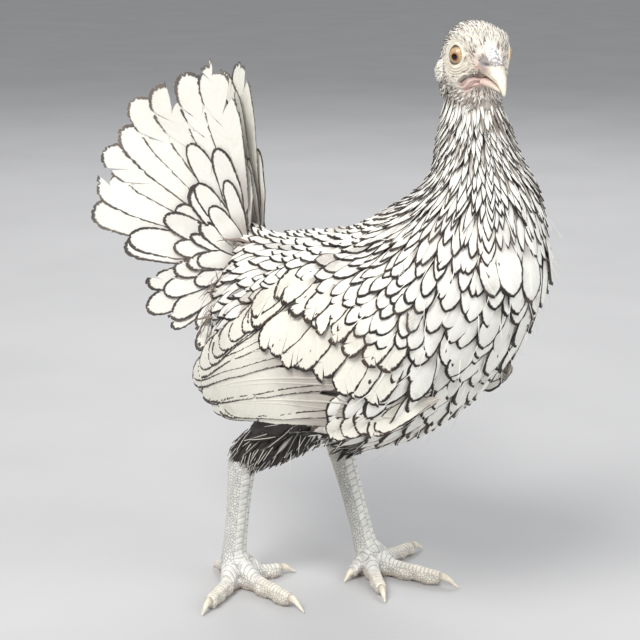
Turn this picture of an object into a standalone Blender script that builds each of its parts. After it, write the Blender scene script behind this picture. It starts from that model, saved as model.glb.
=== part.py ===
"""Still, life-size model of a sebright bantam hen, standing with her head turned to her right.

The bird faces +X and her left side is +Y. All sizes below are in millimetres, in a frame of her own whose
floor is z = 0 and whose midplane is y = 0. The meshes are written in metres, from an origin in the middle of
her right sole.
"""

import math

import bmesh
import bpy
import numpy as np
from mathutils import Matrix, Vector
from mathutils.bvhtree import BVHTree

MM = 0.001
GAP = 0.3  # left between nodes that touch
FLAT_ANGLE = math.radians(1.5)  # faces flatter than this to one another are joined after a cut

RIGHT, LEFT = -1, 1
SIDE_NAMES = {RIGHT: "right", LEFT: "left"}

# Torso and neck are one tube of tilted rings. Each station gives the back line (x, z), the breast or
# belly line (x, z) and the half width.
STATIONS = {
    "tail root": ((-50, 167), (-54, 150), 10),
    "vent": ((-43, 171), (-62, 124), 27),
    "rump": ((-29, 174), (-52, 98), 40),
    "hip": ((-11, 177), (-27, 81), 46.5),
    "loin": ((6, 180.5), (5, 76), 49.5),
    "mid back": ((20, 185.5), (36, 80), 50),
    "shoulder": ((34, 193), (66, 98), 48),
    "breast": ((45, 201), (93, 128), 43.5),
    "crop": ((52.5, 210), (110.5, 161), 36),
    "neck base": ((58.5, 219.5), (109.5, 190), 26.5),
    "low neck": ((63, 230.5), (99.5, 214), 18.5),
    "mid neck": ((65.5, 240.5), (93.5, 232), 14),
    "upper neck": ((66, 250), (89, 248), 11.8),
    "nape": ((66.5, 262), (88, 262), 11.5),
}
STATION_NAMES = list(STATIONS)
NECK_BASE = STATION_NAMES.index("neck base")
NECK_TOP = STATION_NAMES.index("upper neck")
BODY_SIDES = 24
RINGS_PER_STATION = 2.5

# Head, in its own frame: x forward through the bill, z up, origin midway between the eyes' backs.
HEAD_CENTRE = (77.5, 0, 264)
HEAD_YAW = math.radians(-25)
HEAD_PITCH = math.radians(10)
# x, top, bottom, half width
HEAD_STATIONS = [
    (-17.0, 1.0, -6.5, 4.0),
    (-14.5, 7.5, -12.0, 7.8),
    (-9.5, 12.6, -16.0, 10.6),
    (-3.0, 15.2, -18.0, 13.0),
    (4.0, 14.8, -17.0, 14.0),
    (8.5, 11.8, -14.5, 12.2),
    (11.5, 7.6, -11.6, 8.6),
    (13.0, 4.8, -9.4, 6.0),
]
HEAD_SIDES = 20
EYE_PLACE = (5.0, 12.6, 3.0)
EYE_RADIUS = 5.2
EYE_SUNK = 3.2
LID_RADIUS = 4.9
LID_THICK = 1.0
LOBE_PLACE = (-7.6, 11.4, -7.0)
LOBE_RADII = (3.4, 1.9, 4.8)
BILL_BASE = 13.0
# x, top, bottom, half width of the two halves of the bill
UPPER_BILL = [
    (0.3, 4.4, -4.2, 5.2),
    (3.0, 3.9, -4.4, 4.7),
    (6.5, 2.2, -5.0, 3.8),
    (9.8, -0.8, -6.0, 2.7),
    (12.3, -4.2, -7.8, 1.6),
    (14.0, -8.2, -10.2, 0.7),
]
LOWER_BILL = [
    (0.3, -4.9, -8.8, 4.5),
    (3.0, -5.0, -8.7, 4.0),
    (6.5, -5.6, -8.5, 3.1),
    (9.3, -6.6, -8.5, 2.0),
    (11.0, -7.8, -8.8, 1.0),
]
COMB_LENGTH, COMB_WIDTH, COMB_HEIGHT = 9.0, 5.4, 3.0
COMB_PLACE = (12.0, 0, 7.0)
COMB_SLOPE = math.radians(48)
WATTLE_PLACE = (8.6, 4.0, -13.4)
WATTLE_RADII = (3.6, 1.5, 3.6)

# Feathers in the solids: thickness of a free vane, how deep the roots of the others go, and how far each
# feather of a row stands over the next.
VANE_THICK = 1.2
ROOTED_DEPTH = 2.4
SHINGLE_STEP = 0.9
LONG_ROWS = (0.0, 0.3, 0.62, 0.86, 0.955, 0.995)
SHORT_ROWS = (0.0, 0.42, 0.78, 0.94, 0.99)

# Folded wing, seen from the side (x, z)
WING_TOP = [(76, 166), (50, 177), (20, 175), (-8, 163), (-30, 146)]
WING_LOW = [(84, 136), (70, 110), (44, 97), (12, 92), (-22, 92)]
WING_CORE_THICK = 5.6
WING_COLUMNS, WING_ROWS = 9, 6
# Rows along each tier, from its lowest feather up: the tip's x and z, how many degrees the feather points
# below level, and its length. Then the count and the width.
WING_TIERS = {
    "primary": (((-52, 86, 12, 66), (-66, 89, 12, 74), (-71, 95, 13, 78)), 4, 13.0),
    "secondary": (
        ((-39, 92, 6, 66), (-60, 91, 12, 74), (-72, 97, 21, 72), (-55, 111, 31, 54), (-30, 127, 36, 44), (-10, 143, 38, 34)),
        8, 14.5,
    ),
    "great covert": (((64, 114, 62, 25), (43, 122, 54, 29), (20, 128, 46, 31), (-2, 135, 39, 31), (-6, 150, 35, 24)), 6, 17.5),
    "median covert": (((76, 127, 62, 20), (57, 137, 56, 23), (34, 146, 47, 24), (12, 154, 40, 22)), 5, 17.0),
}

# Tail: seven main feathers a side, fanned in the side view from nearly upright to nearly level
TAIL_ROOT = (-50.5, 158.5)
TAIL_FEATHERS = 7
TAIL_STEEPEST, TAIL_FLATTEST = 79, 16
TAIL_LENGTH, TAIL_WIDTH = 99, 20
TAIL_SPREAD_TOP, TAIL_SPREAD_LOW = 3.5, 21
# highest and lowest heading in degrees, count, reach from the tail's root, width
TAIL_COVERTS = {
    "covert": (68, -44, 7, 57, 19),
    "short covert": (58, -42, 5, 38, 18),
}

# Legs: hock and ankle of each side
HOCK = {RIGHT: (-32, -33.5, 65), LEFT: (-16, 22, 62)}
ANKLE = {RIGHT: (-38.4, -34.3, 9), LEFT: (5.0, 20, 9)}
FOOT = {RIGHT: (-34.7, -34.3), LEFT: (5.4, 19.6)}
ORIGIN = np.array((*FOOT[RIGHT], 0))
THIGH_TOP = {RIGHT: (6, -22, 103), LEFT: (20, 20, 103)}
SHANK_RADII = (7.0, 6.0, 5.5, 5.6, 6.3)
SHANK_SCUTES = 10
PAD_RADIUS, PAD_HEIGHT = 8.4, 9.0
TOES = {
    # side, toe: heading in degrees, length to the nail, radius at its root
    (RIGHT, "inner"): (64, 18, 3.9),
    (RIGHT, "middle"): (-8, 35, 4.3),
    (RIGHT, "outer"): (-71, 29.5, 3.8),
    (RIGHT, "hind"): (165, 13, 3.3),
    (LEFT, "inner"): (-40, 28, 3.7),
    (LEFT, "middle"): (12, 35.5, 4.3),
    (LEFT, "outer"): (84, 28, 3.8),
    (LEFT, "hind"): (-88, 9, 3.3),
}
CLAW_LENGTH = {"inner": 9.0, "middle": 10.5, "outer": 9.0, "hind": 7.0}
HIND_RISE = 6.5  # the hind toe grows from the shank this far above the others
SCUTE_LENGTH = 3.7
TOE_SIDES = 8

WHITE_FEATHER = (0.82, 0.81, 0.74)
LACED_FEATHER = (0.62, 0.61, 0.57)
DARK_FEATHER = (0.20, 0.19, 0.18)
FACE_SKIN = (0.62, 0.50, 0.48)
LEG_SKIN = (0.58, 0.59, 0.58)
HORN = (0.80, 0.76, 0.66)
IRIS = (0.55, 0.30, 0.10)
LOBE_WHITE = (0.85, 0.84, 0.78)
MATERIALS = {}


def material(name, colour, roughness=0.7):
    """One Principled material for each finish, shared by the nodes that wear it."""
    if name not in MATERIALS:
        made = bpy.data.materials.new(name)
        made.use_nodes = True
        shader = made.node_tree.nodes["Principled BSDF"]
        shader.inputs["Base Color"].default_value = (*colour, 1)
        shader.inputs["Roughness"].default_value = roughness
        shader.inputs["Metallic"].default_value = 0.0
        made.diffuse_color = (*colour, 1)
        MATERIALS[name] = made
    return MATERIALS[name]


def clear_scene():
    for old in list(bpy.data.objects):
        bpy.data.objects.remove(old, do_unlink=True)


def object_from(name, points, faces):
    """A mesh object from points in millimetres of the bird's frame, with its faces turned outwards."""
    mesh = bpy.data.meshes.new(name)
    mesh.from_pydata([tuple((np.asarray(p, float) - ORIGIN) * MM) for p in points], [], faces)
    made = bpy.data.objects.new(name, mesh)
    bpy.context.scene.collection.objects.link(made)
    work = bmesh.new()
    work.from_mesh(mesh)
    bmesh.ops.recalc_face_normals(work, faces=work.faces)
    if work.calc_volume(signed=True) < 0:
        bmesh.ops.reverse_faces(work, faces=work.faces)
    work.to_mesh(mesh)
    work.free()
    return made


def loft(name, rings):
    """A closed tube through rings of equal size. Its ends are fans round each end ring's middle."""
    count = len(rings[0])
    points = [p for ring in rings for p in ring]
    faces = []
    for k in range(len(rings) - 1):
        for i in range(count):
            a, b = k * count + i, k * count + (i + 1) % count
            faces += [(a, b, b + count), (a, b + count, a + count)]
    for k in (0, len(rings) - 1):
        middle = len(points)
        points.append(np.mean(rings[k], axis=0))
        faces += [(k * count + i, k * count + (i + 1) % count, middle) for i in range(count)]
    return object_from(name, points, faces)


def spline(rows, u):
    """The rows' smooth curve at u, where whole numbers are the rows themselves."""
    rows = np.asarray(rows, float)
    k = min(max(int(math.floor(u)), 0), len(rows) - 2)
    t = u - k
    before = rows[max(k - 1, 0)]
    after = rows[min(k + 2, len(rows) - 1)]
    start, end = rows[k], rows[k + 1]
    slope_start = (end - before) / 2
    slope_end = (after - start) / 2
    return (
        start * (2 * t**3 - 3 * t**2 + 1)
        + slope_start * (t**3 - 2 * t**2 + t)
        + end * (3 * t**2 - 2 * t**3)
        + slope_end * (t**3 - t**2)
    )


BODY_ROWS = [(*back, *belly, half) for back, belly, half in STATIONS.values()]


def body_point(u, angle, lift=0.0):
    """A point on the torso and neck: angle 0 is the back and pi the belly, and positive is the left side."""
    back_x, back_z, low_x, low_z, half = spline(BODY_ROWS, u)
    back, low = np.array((back_x, 0, back_z)), np.array((low_x, 0, low_z))
    rise = (back - low) / 2
    reach = np.linalg.norm(rise)
    up = rise / reach
    side = np.array((0, 1.0, 0))
    around = up * (reach + lift) * math.cos(angle) + side * (half + lift) * math.sin(angle)
    return (back + low) / 2 + around


def body_normal(u, angle):
    step = 0.02
    along = body_point(u + step, angle) - body_point(u - step, angle)
    across = body_point(u, angle + step) - body_point(u, angle - step)
    normal = np.cross(along, across)
    return normal / np.linalg.norm(normal)


def body_ring(u, lift=0.0, sides=BODY_SIDES):
    return [body_point(u, 2 * math.pi * k / sides, lift) for k in range(sides)]


def ring_shifted(u, distance, lift=0.0, sides=BODY_SIDES):
    """The ring at u, moved along its own plane's normal, towards the head if distance is positive."""
    ring = np.array(body_ring(u, lift, sides))
    back_x, back_z, low_x, low_z, _ = spline(BODY_ROWS, u)
    normal = np.cross((0, 1.0, 0), (back_x - low_x, 0, back_z - low_z))
    normal /= np.linalg.norm(normal)
    ahead = np.mean(body_ring(u + 0.05), axis=0) - np.mean(body_ring(u), axis=0)
    return list(ring + normal * distance * math.copysign(1, ahead @ normal))


def body_solid(name, start, end, lift=0.0, per_station=RINGS_PER_STATION):
    """The part of the body's tube between two stations. Both ends stand half a gap back from the station.

    Its rings lie at the same places whatever the ends, so that a grown copy is clear of it all over.
    """
    inner = [k / per_station for k in range(100) if start + 0.1 < k / per_station < end - 0.1]
    rings = [ring_shifted(start, GAP / 2, lift)]
    rings += [body_ring(u, lift) for u in inner]
    rings.append(ring_shifted(end, -GAP / 2, lift))
    return loft(name, rings)


def apply_modifiers(obj):
    graph = bpy.context.evaluated_depsgraph_get()
    made = bpy.data.meshes.new_from_object(obj.evaluated_get(graph))
    obj.modifiers.clear()
    old = obj.data
    obj.data = made
    bpy.data.meshes.remove(old)


def keep_largest_shell(obj):
    """Keeps the closed surface with the largest volume, and drops scraps and sealed hollows."""
    work = bmesh.new()
    work.from_mesh(obj.data)
    bmesh.ops.remove_doubles(work, verts=work.verts, dist=0.002 * MM)
    bmesh.ops.triangulate(work, faces=work.faces)
    unseen = set(work.verts)
    shells = []
    while unseen:
        front = [unseen.pop()]
        shell = set(front)
        while front:
            for edge in front.pop().link_edges:
                for vert in edge.verts:
                    if vert in unseen:
                        unseen.discard(vert)
                        shell.add(vert)
                        front.append(vert)
        faces = {face for vert in shell for face in vert.link_faces}
        size = sum(
            f.verts[0].co.dot(f.verts[1].co.cross(f.verts[2].co)) for f in faces
        )
        shells.append((size, shell))
    largest = max(shells, key=lambda pair: pair[0])[1]
    scraps = [v for v in work.verts if v not in largest]
    bmesh.ops.delete(work, geom=scraps, context="VERTS")
    for share in (1.0, 0.6, 0.3):
        thinned = work.copy()
        bmesh.ops.dissolve_limit(thinned, angle_limit=FLAT_ANGLE * share, verts=thinned.verts, edges=thinned.edges)
        bmesh.ops.triangulate(thinned, faces=thinned.faces)
        if all(len(edge.link_faces) == 2 for edge in thinned.edges):
            work.free()
            work = thinned
            break
        thinned.free()
    work.to_mesh(obj.data)
    work.free()


def fuse(core, pieces, solver="MANIFOLD"):
    """Joins the pieces to the core with one Boolean union, and removes them."""
    group = bpy.data.collections.new(core.name + " pieces")
    bpy.context.scene.collection.children.link(group)
    for piece in pieces:
        bpy.context.scene.collection.objects.unlink(piece)
        group.objects.link(piece)
    join = core.modifiers.new("join", "BOOLEAN")
    join.operation = "UNION"
    join.operand_type = "COLLECTION"
    join.collection = group
    join.solver = solver
    apply_modifiers(core)
    for piece in pieces:
        bpy.data.objects.remove(piece, do_unlink=True)
    bpy.data.collections.remove(group)
    keep_largest_shell(core)
    return core


def carve(obj, cutters, solver="MANIFOLD"):
    """Cuts each cutter from the object, and removes the cutters."""
    for cutter in cutters:
        cut = obj.modifiers.new("cut", "BOOLEAN")
        cut.operation = "DIFFERENCE"
        cut.object = cutter
        cut.solver = solver
        apply_modifiers(obj)
        bpy.data.objects.remove(cutter, do_unlink=True)
    keep_largest_shell(obj)
    return obj


def finish(obj, finish_name, colour, roughness=0.7, sharp_degrees=40):
    obj.data.materials.clear()
    obj.data.materials.append(material(finish_name, colour, roughness))
    obj.data.shade_smooth()
    obj.data.set_sharp_from_angle(angle=math.radians(sharp_degrees))
    return obj


def broad_outline(t):
    """Share of full width along a broad, round-tipped feather."""
    rise = min(1.0, 0.34 + 1.5 * t)
    past = max(0.0, (t - 0.74) / 0.26)
    return rise * math.sqrt(max(0.0, 1 - past**2.3))


def pointed_outline(t):
    """Share of full width along a hackle feather, which narrows to a point."""
    rise = min(1.0, 0.45 + 1.6 * t)
    past = max(0.0, (t - 0.42) / 0.58)
    return rise * (1 - past**1.7)


def vane(name, lay, length, width, outline, root_top, tip_top, tilt=0.0, depth=VANE_THICK, rows=SHORT_ROWS, rise=1.0):
    """A closed feather. lay(s, w, h) puts a place s along, w across and h over its sheet in space.

    Its outer face rises from root_top to tip_top over the sheet, and it is depth thick.
    """
    points, faces = [], []
    for t in rows:
        half = width / 2 * outline(t)
        top = root_top + (tip_top - root_top) * t**rise
        for w, h in ((-half, -depth), (half, -depth), (half, 0), (-half, 0)):
            points.append(lay(t * length, w, top + tilt * w + h))
    for row in range(len(rows) - 1):
        a, b = 4 * row, 4 * row + 4
        faces += [
            (a, a + 1, b + 1), (a, b + 1, b),
            (a + 3, b + 2, a + 2), (a + 3, b + 3, b + 2),
            (a + 1, a + 2, b + 2), (a + 1, b + 2, b + 1),
            (a, b + 3, a + 3), (a, b, b + 3),
        ]
    last = 4 * len(rows) - 4
    faces += [(0, 2, 1), (0, 3, 2), (last, last + 1, last + 2), (last, last + 2, last + 3)]
    return object_from(name, points, faces)


def make_torso():
    torso = body_solid("torso", 0, NECK_BASE)
    return finish(torso, "laced feather", LACED_FEATHER)


def torso_cutter():
    """The torso grown by a gap, for cutting what rests on it."""
    return body_solid("torso cutter", -0.15, NECK_BASE + 0.4, lift=GAP)


def hackle(tier, index, count, root_u, length, width, free):
    """One neck feather, laid down the neck from its root. Those of the lowest tier hang free."""
    angle = 2 * math.pi * (index + 0.5 * (tier % 2)) / count
    step = 0.05
    pace = np.linalg.norm(body_point(root_u, angle) - body_point(root_u - step, angle)) / step
    half = spline(BODY_ROWS, root_u)[4] + 1.5
    if not free:
        length = min(length, (root_u - NECK_BASE - 0.3) * pace)

    def lay(s, w, h):
        u = root_u - s / pace
        turn = angle + w / half
        return body_point(u, turn, min(h, 0.0)) + body_normal(u, turn) * max(h, 0.0)

    if free:
        return vane(f"hackle {tier} {index}", lay, length, width, pointed_outline, 0.2, 3.6, depth=0.9, rise=0.5)
    return vane(f"hackle {tier} {index}", lay, length, width, pointed_outline, -0.3, 1.5, depth=ROOTED_DEPTH)


def make_neck():
    neck = body_solid("neck", NECK_BASE, NECK_TOP)
    tiers = [(11.75, 19, 8.8, 7, False), (10.8, 22, 10.4, 9, False), (9.85, 26, 12.2, 10, True)]
    feathers = []
    for tier, (root_u, length, width, count, free) in enumerate(tiers):
        for index in range(count):
            feathers.append(hackle(tier, index, count, root_u, length, width, free))
    fuse(neck, feathers)
    return finish(neck, "laced feather", LACED_FEATHER)


def head_frame():
    turn = Matrix.Rotation(HEAD_YAW, 3, "Z") @ Matrix.Rotation(HEAD_PITCH, 3, "Y")
    return np.array(turn), np.array(HEAD_CENTRE)


def in_head(point):
    """A point of the head's own frame, in the bird's frame."""
    turn, centre = head_frame()
    return turn @ np.asarray(point, float) + centre


def oval_ring(x, top, low, half, sides, square=2.0):
    """An upright oval ring of the head's frame, a little squarer than an ellipse if square is over 2."""
    ring = []
    for k in range(sides):
        a = 2 * math.pi * k / sides
        c, s = math.cos(a), math.sin(a)
        up = math.copysign(abs(c) ** (2 / square), c)
        out = math.copysign(abs(s) ** (2 / square), s)
        ring.append(in_head((x, half * out, (top + low) / 2 + (top - low) / 2 * up)))
    return ring


def skull_rings(lift=0.0, per_station=2):
    rings = []
    steps = (len(HEAD_STATIONS) - 1) * per_station
    for k in range(steps + 1):
        x, top, low, half = spline(HEAD_STATIONS, k / per_station)
        rings.append(oval_ring(x, top + lift, low - lift, half + lift, HEAD_SIDES, 2.4))
    return rings


def ellipsoid(name, place, radii, turn=None, sides=12, rows=8):
    """A closed oval body at a place of the bird's frame."""
    turn = np.eye(3) if turn is None else np.array(turn)
    rings = []
    for k in range(rows + 1):
        a = math.pi * (k + 0.25) / (rows + 0.5)
        ring = []
        for j in range(sides):
            b = 2 * math.pi * j / sides
            local = (
                radii[0] * math.sin(a) * math.cos(b),
                radii[1] * math.sin(a) * math.sin(b),
                radii[2] * math.cos(a),
            )
            ring.append(np.asarray(place) + turn @ np.array(local))
        rings.append(ring)
    return loft(name, rings)


def eye_turn(side):
    """Turns +Z to where the eye looks: sideways, a little forward and up."""
    out = Vector((0.26, side, 0.06)).normalized()
    return np.array(head_frame()[0]) @ np.array(out.to_track_quat("Z", "X").to_matrix())


def eye_place(side):
    return in_head((EYE_PLACE[0], EYE_PLACE[1] * side, EYE_PLACE[2])) - eye_turn(side)[:, 2] * EYE_SUNK


def lid_ring(side):
    """The swollen rim of the two lids, a flattened ring round the eye."""
    turn, place = eye_turn(side), eye_place(side)
    rings = []
    around, section = 16, 5
    for k in range(around):
        a = 2 * math.pi * k / around
        outward = np.array((math.cos(a), math.sin(a), 0))
        middle = outward * LID_RADIUS + np.array((0, 0, EYE_SUNK - 0.3))
        ring = []
        for j in range(section):
            b = 2 * math.pi * j / section
            ring.append(
                place + turn @ (middle + outward * LID_THICK * math.cos(b) + np.array((0, 0, LID_THICK * math.sin(b))))
            )
        rings.append(ring)
    points = [p for ring in rings for p in ring]
    faces = []
    for k in range(around):
        for j in range(section):
            a, b = k * section + j, k * section + (j + 1) % section
            c, d = ((k + 1) % around) * section + (j + 1) % section, ((k + 1) % around) * section + j
            faces += [(a, b, c), (a, c, d)]
    return object_from(f"lid {side}", points, faces)


def mouth_groove(side):
    """A thin wedge that cuts the line of the mouth back from the bill to below the eye."""
    line = [(14.5, -4.6), (11.0, -5.4), (8.5, -7.0), (6.6, -8.6)]
    halves = (0.35, 0.4, 0.4, 0.15)
    rings = []
    for (x, z), half in zip(line, halves):
        reach_in, reach_out = side * 4.4, side * 14.0
        rings.append([
            in_head((x, reach_in, z - half)),
            in_head((x, reach_out, z - half)),
            in_head((x, reach_out, z + half)),
            in_head((x, reach_in, z + half)),
        ])
    return loft(f"mouth {side}", rings)


def make_head():
    head = loft("head", skull_rings())
    throat = body_solid("throat", NECK_TOP, NECK_TOP + 1, per_station=2)
    pieces = [throat]
    for side in (RIGHT, LEFT):
        pieces.append(lid_ring(side))
        place = in_head((WATTLE_PLACE[0], WATTLE_PLACE[1] * side, WATTLE_PLACE[2]))
        pieces.append(ellipsoid(f"wattle {side}", place, WATTLE_RADII, head_frame()[0], 10, 6))
    fuse(head, pieces)
    neck_room = body_solid("neck room", NECK_TOP - 1, NECK_TOP, lift=1.6)
    neck_room.location.z += 1.5 * GAP * MM
    bpy.context.view_layer.update()
    cutters = [neck_room]
    for side in (RIGHT, LEFT):
        cutters.append(ellipsoid(f"socket {side}", eye_place(side), (EYE_RADIUS + GAP,) * 3, eye_turn(side), 14, 9))
        cutters.append(mouth_groove(side))
    carve(head, cutters)
    return finish(head, "face feather", LACED_FEATHER)


def head_cutter():
    return loft("head cutter", skull_rings(lift=GAP))


def make_eye(side):
    eye = ellipsoid(f"eye_{SIDE_NAMES[side]}", eye_place(side), (EYE_RADIUS,) * 3, eye_turn(side), 12, 8)
    return finish(eye, "eye", IRIS, 0.1)


def make_bill(name, stations, square):
    rings = [
        oval_ring(BILL_BASE + x, top, low, half, 12, square)
        for x, top, low, half in stations
    ]
    return loft(name, rings)


def make_upper_bill():
    bill = make_bill("bill_upper", UPPER_BILL, 2.0)
    nostrils = [
        ellipsoid(f"nostril {side}", in_head((BILL_BASE + 4.4, side * 4.5, 0.2)), (1.5, 0.9, 0.55), head_frame()[0], 8, 6)
        for side in (RIGHT, LEFT)
    ]
    carve(bill, nostrils)
    return finish(bill, "horn", HORN, 0.45)


def make_lower_bill():
    return finish(make_bill("bill_lower", LOWER_BILL, 2.0), "horn", HORN, 0.45)


def make_comb():
    """A pullet's small, low rose comb, with a few rounded points, from the bill to the forehead."""
    turn = head_frame()[0] @ np.array(Matrix.Rotation(COMB_SLOPE, 3, "Y"))
    place = in_head(COMB_PLACE)
    comb = ellipsoid("comb", place, (COMB_LENGTH / 2, COMB_WIDTH / 2, COMB_HEIGHT / 2), turn, 12, 6)
    points = []
    for row, (along, count) in enumerate(((-2.6, 2), (-0.2, 3), (2.2, 2))):
        for k in range(count):
            across = (k - (count - 1) / 2) * 1.7
            knob = place + turn @ np.array((along, across, COMB_HEIGHT / 2 - 0.3 - 0.1 * abs(across)))
            points.append(ellipsoid(f"knob {row} {k}", knob, (0.95, 0.85, 0.95), turn, 6, 4))
    fuse(comb, points)
    carve(comb, [head_cutter(), bill_room()])
    return finish(comb, "face skin", FACE_SKIN, 0.5)


def bill_room():
    """The upper bill grown by a gap."""
    grown = [(x - 0.4 * (k == 0), top + GAP, low - GAP, half + GAP) for k, (x, top, low, half) in enumerate(UPPER_BILL)]
    return make_bill("bill room", grown, 2.0)


def make_earlobe(side):
    place = in_head((LOBE_PLACE[0], LOBE_PLACE[1] * side, LOBE_PLACE[2]))
    lobe = ellipsoid(f"earlobe_{SIDE_NAMES[side]}", place, LOBE_RADII, head_frame()[0], 12, 7)
    carve(lobe, [head_cutter(), body_solid("neck room", NECK_TOP - 1, NECK_TOP + 1, lift=GAP)])
    return finish(lobe, "earlobe", LOBE_WHITE, 0.5)


def body_shape():
    """The torso's fine surface, for finding how far out its side is."""
    fine = body_solid("fine torso", 0, NECK_BASE + 1, per_station=4)
    mesh = fine.data
    points = [v.co / MM + Vector(ORIGIN) for v in mesh.vertices]
    tree = BVHTree.FromPolygons(points, [tuple(p.vertices) for p in mesh.polygons])
    bpy.data.objects.remove(fine, do_unlink=True)
    return tree


def soft_maximum(a, b, blend=5.0):
    return (a + b + math.sqrt((a - b) ** 2 + blend**2)) / 2


def wing_sheet(tree, x, z):
    """How far from the midplane the folded wing's inner face lies."""
    hit = tree.ray_cast(Vector((x, -300, z)), Vector((0, 1, 0)))[0]
    body = abs(hit.y) if hit else 0.0
    free = 50 - (0.0026 if x < 25 else 0.0060) * (x - 25) ** 2 - 0.0042 * (z - 122) ** 2
    return soft_maximum(body + GAP, free)


def wing_thickness(x, z):
    """Thickness of the folded wing under its outer feathers: full in the middle, thin at the rims and tips."""
    p = min(1.0, max(0.0, (80 - x) / 105))
    low, top = 92 + 30 * (1 - p) ** 3, 146 + 31 * (1 - abs(p - 0.3)) ** 1.5
    q = min(1.0, max(0.0, (z - low) / (top - low)))
    bulge = (4 * q * (1 - q)) ** 0.5
    front = min(1.0, 0.3 + p * 4.0)
    return 1.1 + WING_CORE_THICK * bulge * front * (1 - 0.8 * p)


def wing_core(name, tree, side):
    """The flesh of the folded wing with its small feathers: a slab from the shoulder back."""
    outer, inner = [], []
    for i in range(WING_COLUMNS + 1):
        p = i / WING_COLUMNS
        low = spline(WING_LOW, p * (len(WING_LOW) - 1))
        top = spline(WING_TOP, p * (len(WING_TOP) - 1))
        for j in range(WING_ROWS + 1):
            x, z = low + (top - low) * j / WING_ROWS
            y = wing_sheet(tree, x, z)
            outer.append((x, side * (y + wing_thickness(x, z)), z))
            inner.append((x, side * (y - 4.0 * (1 - p)), z))
    count = len(outer)
    stride = WING_ROWS + 1
    faces = []
    for i in range(WING_COLUMNS):
        for j in range(WING_ROWS):
            a, b, c, d = i * stride + j, (i + 1) * stride + j, (i + 1) * stride + j + 1, i * stride + j + 1
            faces += [(a, b, c), (a, c, d), (count + a, count + c, count + b), (count + a, count + d, count + c)]
    rim = [i * stride for i in range(WING_COLUMNS + 1)]
    rim += [WING_COLUMNS * stride + j for j in range(1, stride)]
    rim += [i * stride + WING_ROWS for i in range(WING_COLUMNS - 1, -1, -1)]
    rim += [j for j in range(WING_ROWS - 1, 0, -1)]
    for a, b in zip(rim, rim[1:] + rim[:1]):
        faces += [(a, b, count + b), (a, count + b, count + a)]
    return object_from(name, outer + inner, faces)


def wing_feather(name, tree, side, root, tip, width, root_top, tip_top, tilt, depth, rows):
    """One wing feather, laid on the wing's outer face from its root to its tip, both (x, z)."""
    root, tip = np.asarray(root, float), np.asarray(tip, float)
    along = tip - root
    length = np.linalg.norm(along)
    along /= length
    down = np.array((-along[1], along[0]))
    if down[1] > 0:
        down = -down

    def lay(s, w, h):
        x, z = root + along * s + down * w
        return np.array((x, side * (wing_sheet(tree, x, z) + wing_thickness(x, z) + h), z))

    return vane(name, lay, length, width, broad_outline, root_top, tip_top, tilt, depth, rows)


def make_wing(side, tree):
    wing = wing_core(f"wing_{SIDE_NAMES[side]}", tree, side)
    feathers = []
    heights = {"primary": (-0.3, 0.3), "secondary": (-0.3, 0.9), "great covert": (-0.4, 2.1), "median covert": (-0.4, 2.6)}
    for tier, (rows, count, width) in WING_TIERS.items():
        placed = [spline(rows, (len(rows) - 1) * k / (count - 1)) for k in range(count)]
        tips = [row[:2] for row in placed]
        pitch = np.linalg.norm(np.diff(tips, axis=0), axis=1).mean()
        free = tier in ("primary", "secondary")
        depth, stations = (VANE_THICK, LONG_ROWS) if free else (ROOTED_DEPTH, SHORT_ROWS)
        root_top, tip_top = heights[tier]
        tilt = SHINGLE_STEP / pitch
        for k, (x, z, slope, length) in enumerate(placed):
            slope = math.radians(slope)
            root = (x + length * math.cos(slope), z + length * math.sin(slope))
            name = f"{tier} {k}"
            feathers.append(wing_feather(name, tree, side, root, (x, z), width, root_top, tip_top, tilt, depth, stations))
    fuse(wing, feathers)
    carve(wing, [torso_cutter()])
    return finish(wing, "white feather", WHITE_FEATHER)


def tail_sheet(x, z):
    """How far from the midplane the inner face of half the tail lies: the halves part downwards and back."""
    dx, dz = TAIL_ROOT[0] - x, z - TAIL_ROOT[1]
    reach = math.hypot(dx, dz)
    heading = math.degrees(math.atan2(dz, dx))
    share = min(1.4, max(-0.2, (TAIL_STEEPEST - heading) / (TAIL_STEEPEST - TAIL_FLATTEST)))
    spread = TAIL_SPREAD_TOP + (TAIL_SPREAD_LOW - TAIL_SPREAD_TOP) * share
    return 2.0 + reach * math.tan(math.radians(spread))


def tail_thickness(reach):
    return 1.0 + 2.6 * max(0.0, 1 - reach / 40)


def tail_place(heading, reach):
    a = math.radians(heading)
    return TAIL_ROOT[0] - reach * math.cos(a), TAIL_ROOT[1] + reach * math.sin(a)


def tail_core(name, side):
    """Half of the fleshy root of the tail: a fan-shaped block from the torso out to the coverts."""
    reaches = (2, 10, 18, 27, 36)
    headings = [88, 68, 48, 28, 8, -12, -32, -52, -66]
    outer, inner = [], []
    for reach in reaches:
        for heading in headings:
            x, z = tail_place(heading, reach)
            y = tail_sheet(x, z)
            outer.append((x, side * (y + tail_thickness(reach)), z))
            inner.append((x, side * max(GAP / 2, y - 1.9 - 3.0 * max(0, 1 - reach / 27)), z))
    stride, count = len(headings), len(outer)
    faces = []
    for i in range(len(reaches) - 1):
        for j in range(stride - 1):
            a, b, c, d = i * stride + j, (i + 1) * stride + j, (i + 1) * stride + j + 1, i * stride + j + 1
            faces += [(a, b, c), (a, c, d), (count + a, count + c, count + b), (count + a, count + d, count + c)]
    rim = [i * stride for i in range(len(reaches))]
    rim += [(len(reaches) - 1) * stride + j for j in range(1, stride)]
    rim += [i * stride + stride - 1 for i in range(len(reaches) - 2, -1, -1)]
    rim += [j for j in range(stride - 2, 0, -1)]
    for a, b in zip(rim, rim[1:] + rim[:1]):
        faces += [(a, b, count + b), (a, count + b, count + a)]
    return object_from(name, outer + inner, faces)


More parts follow.
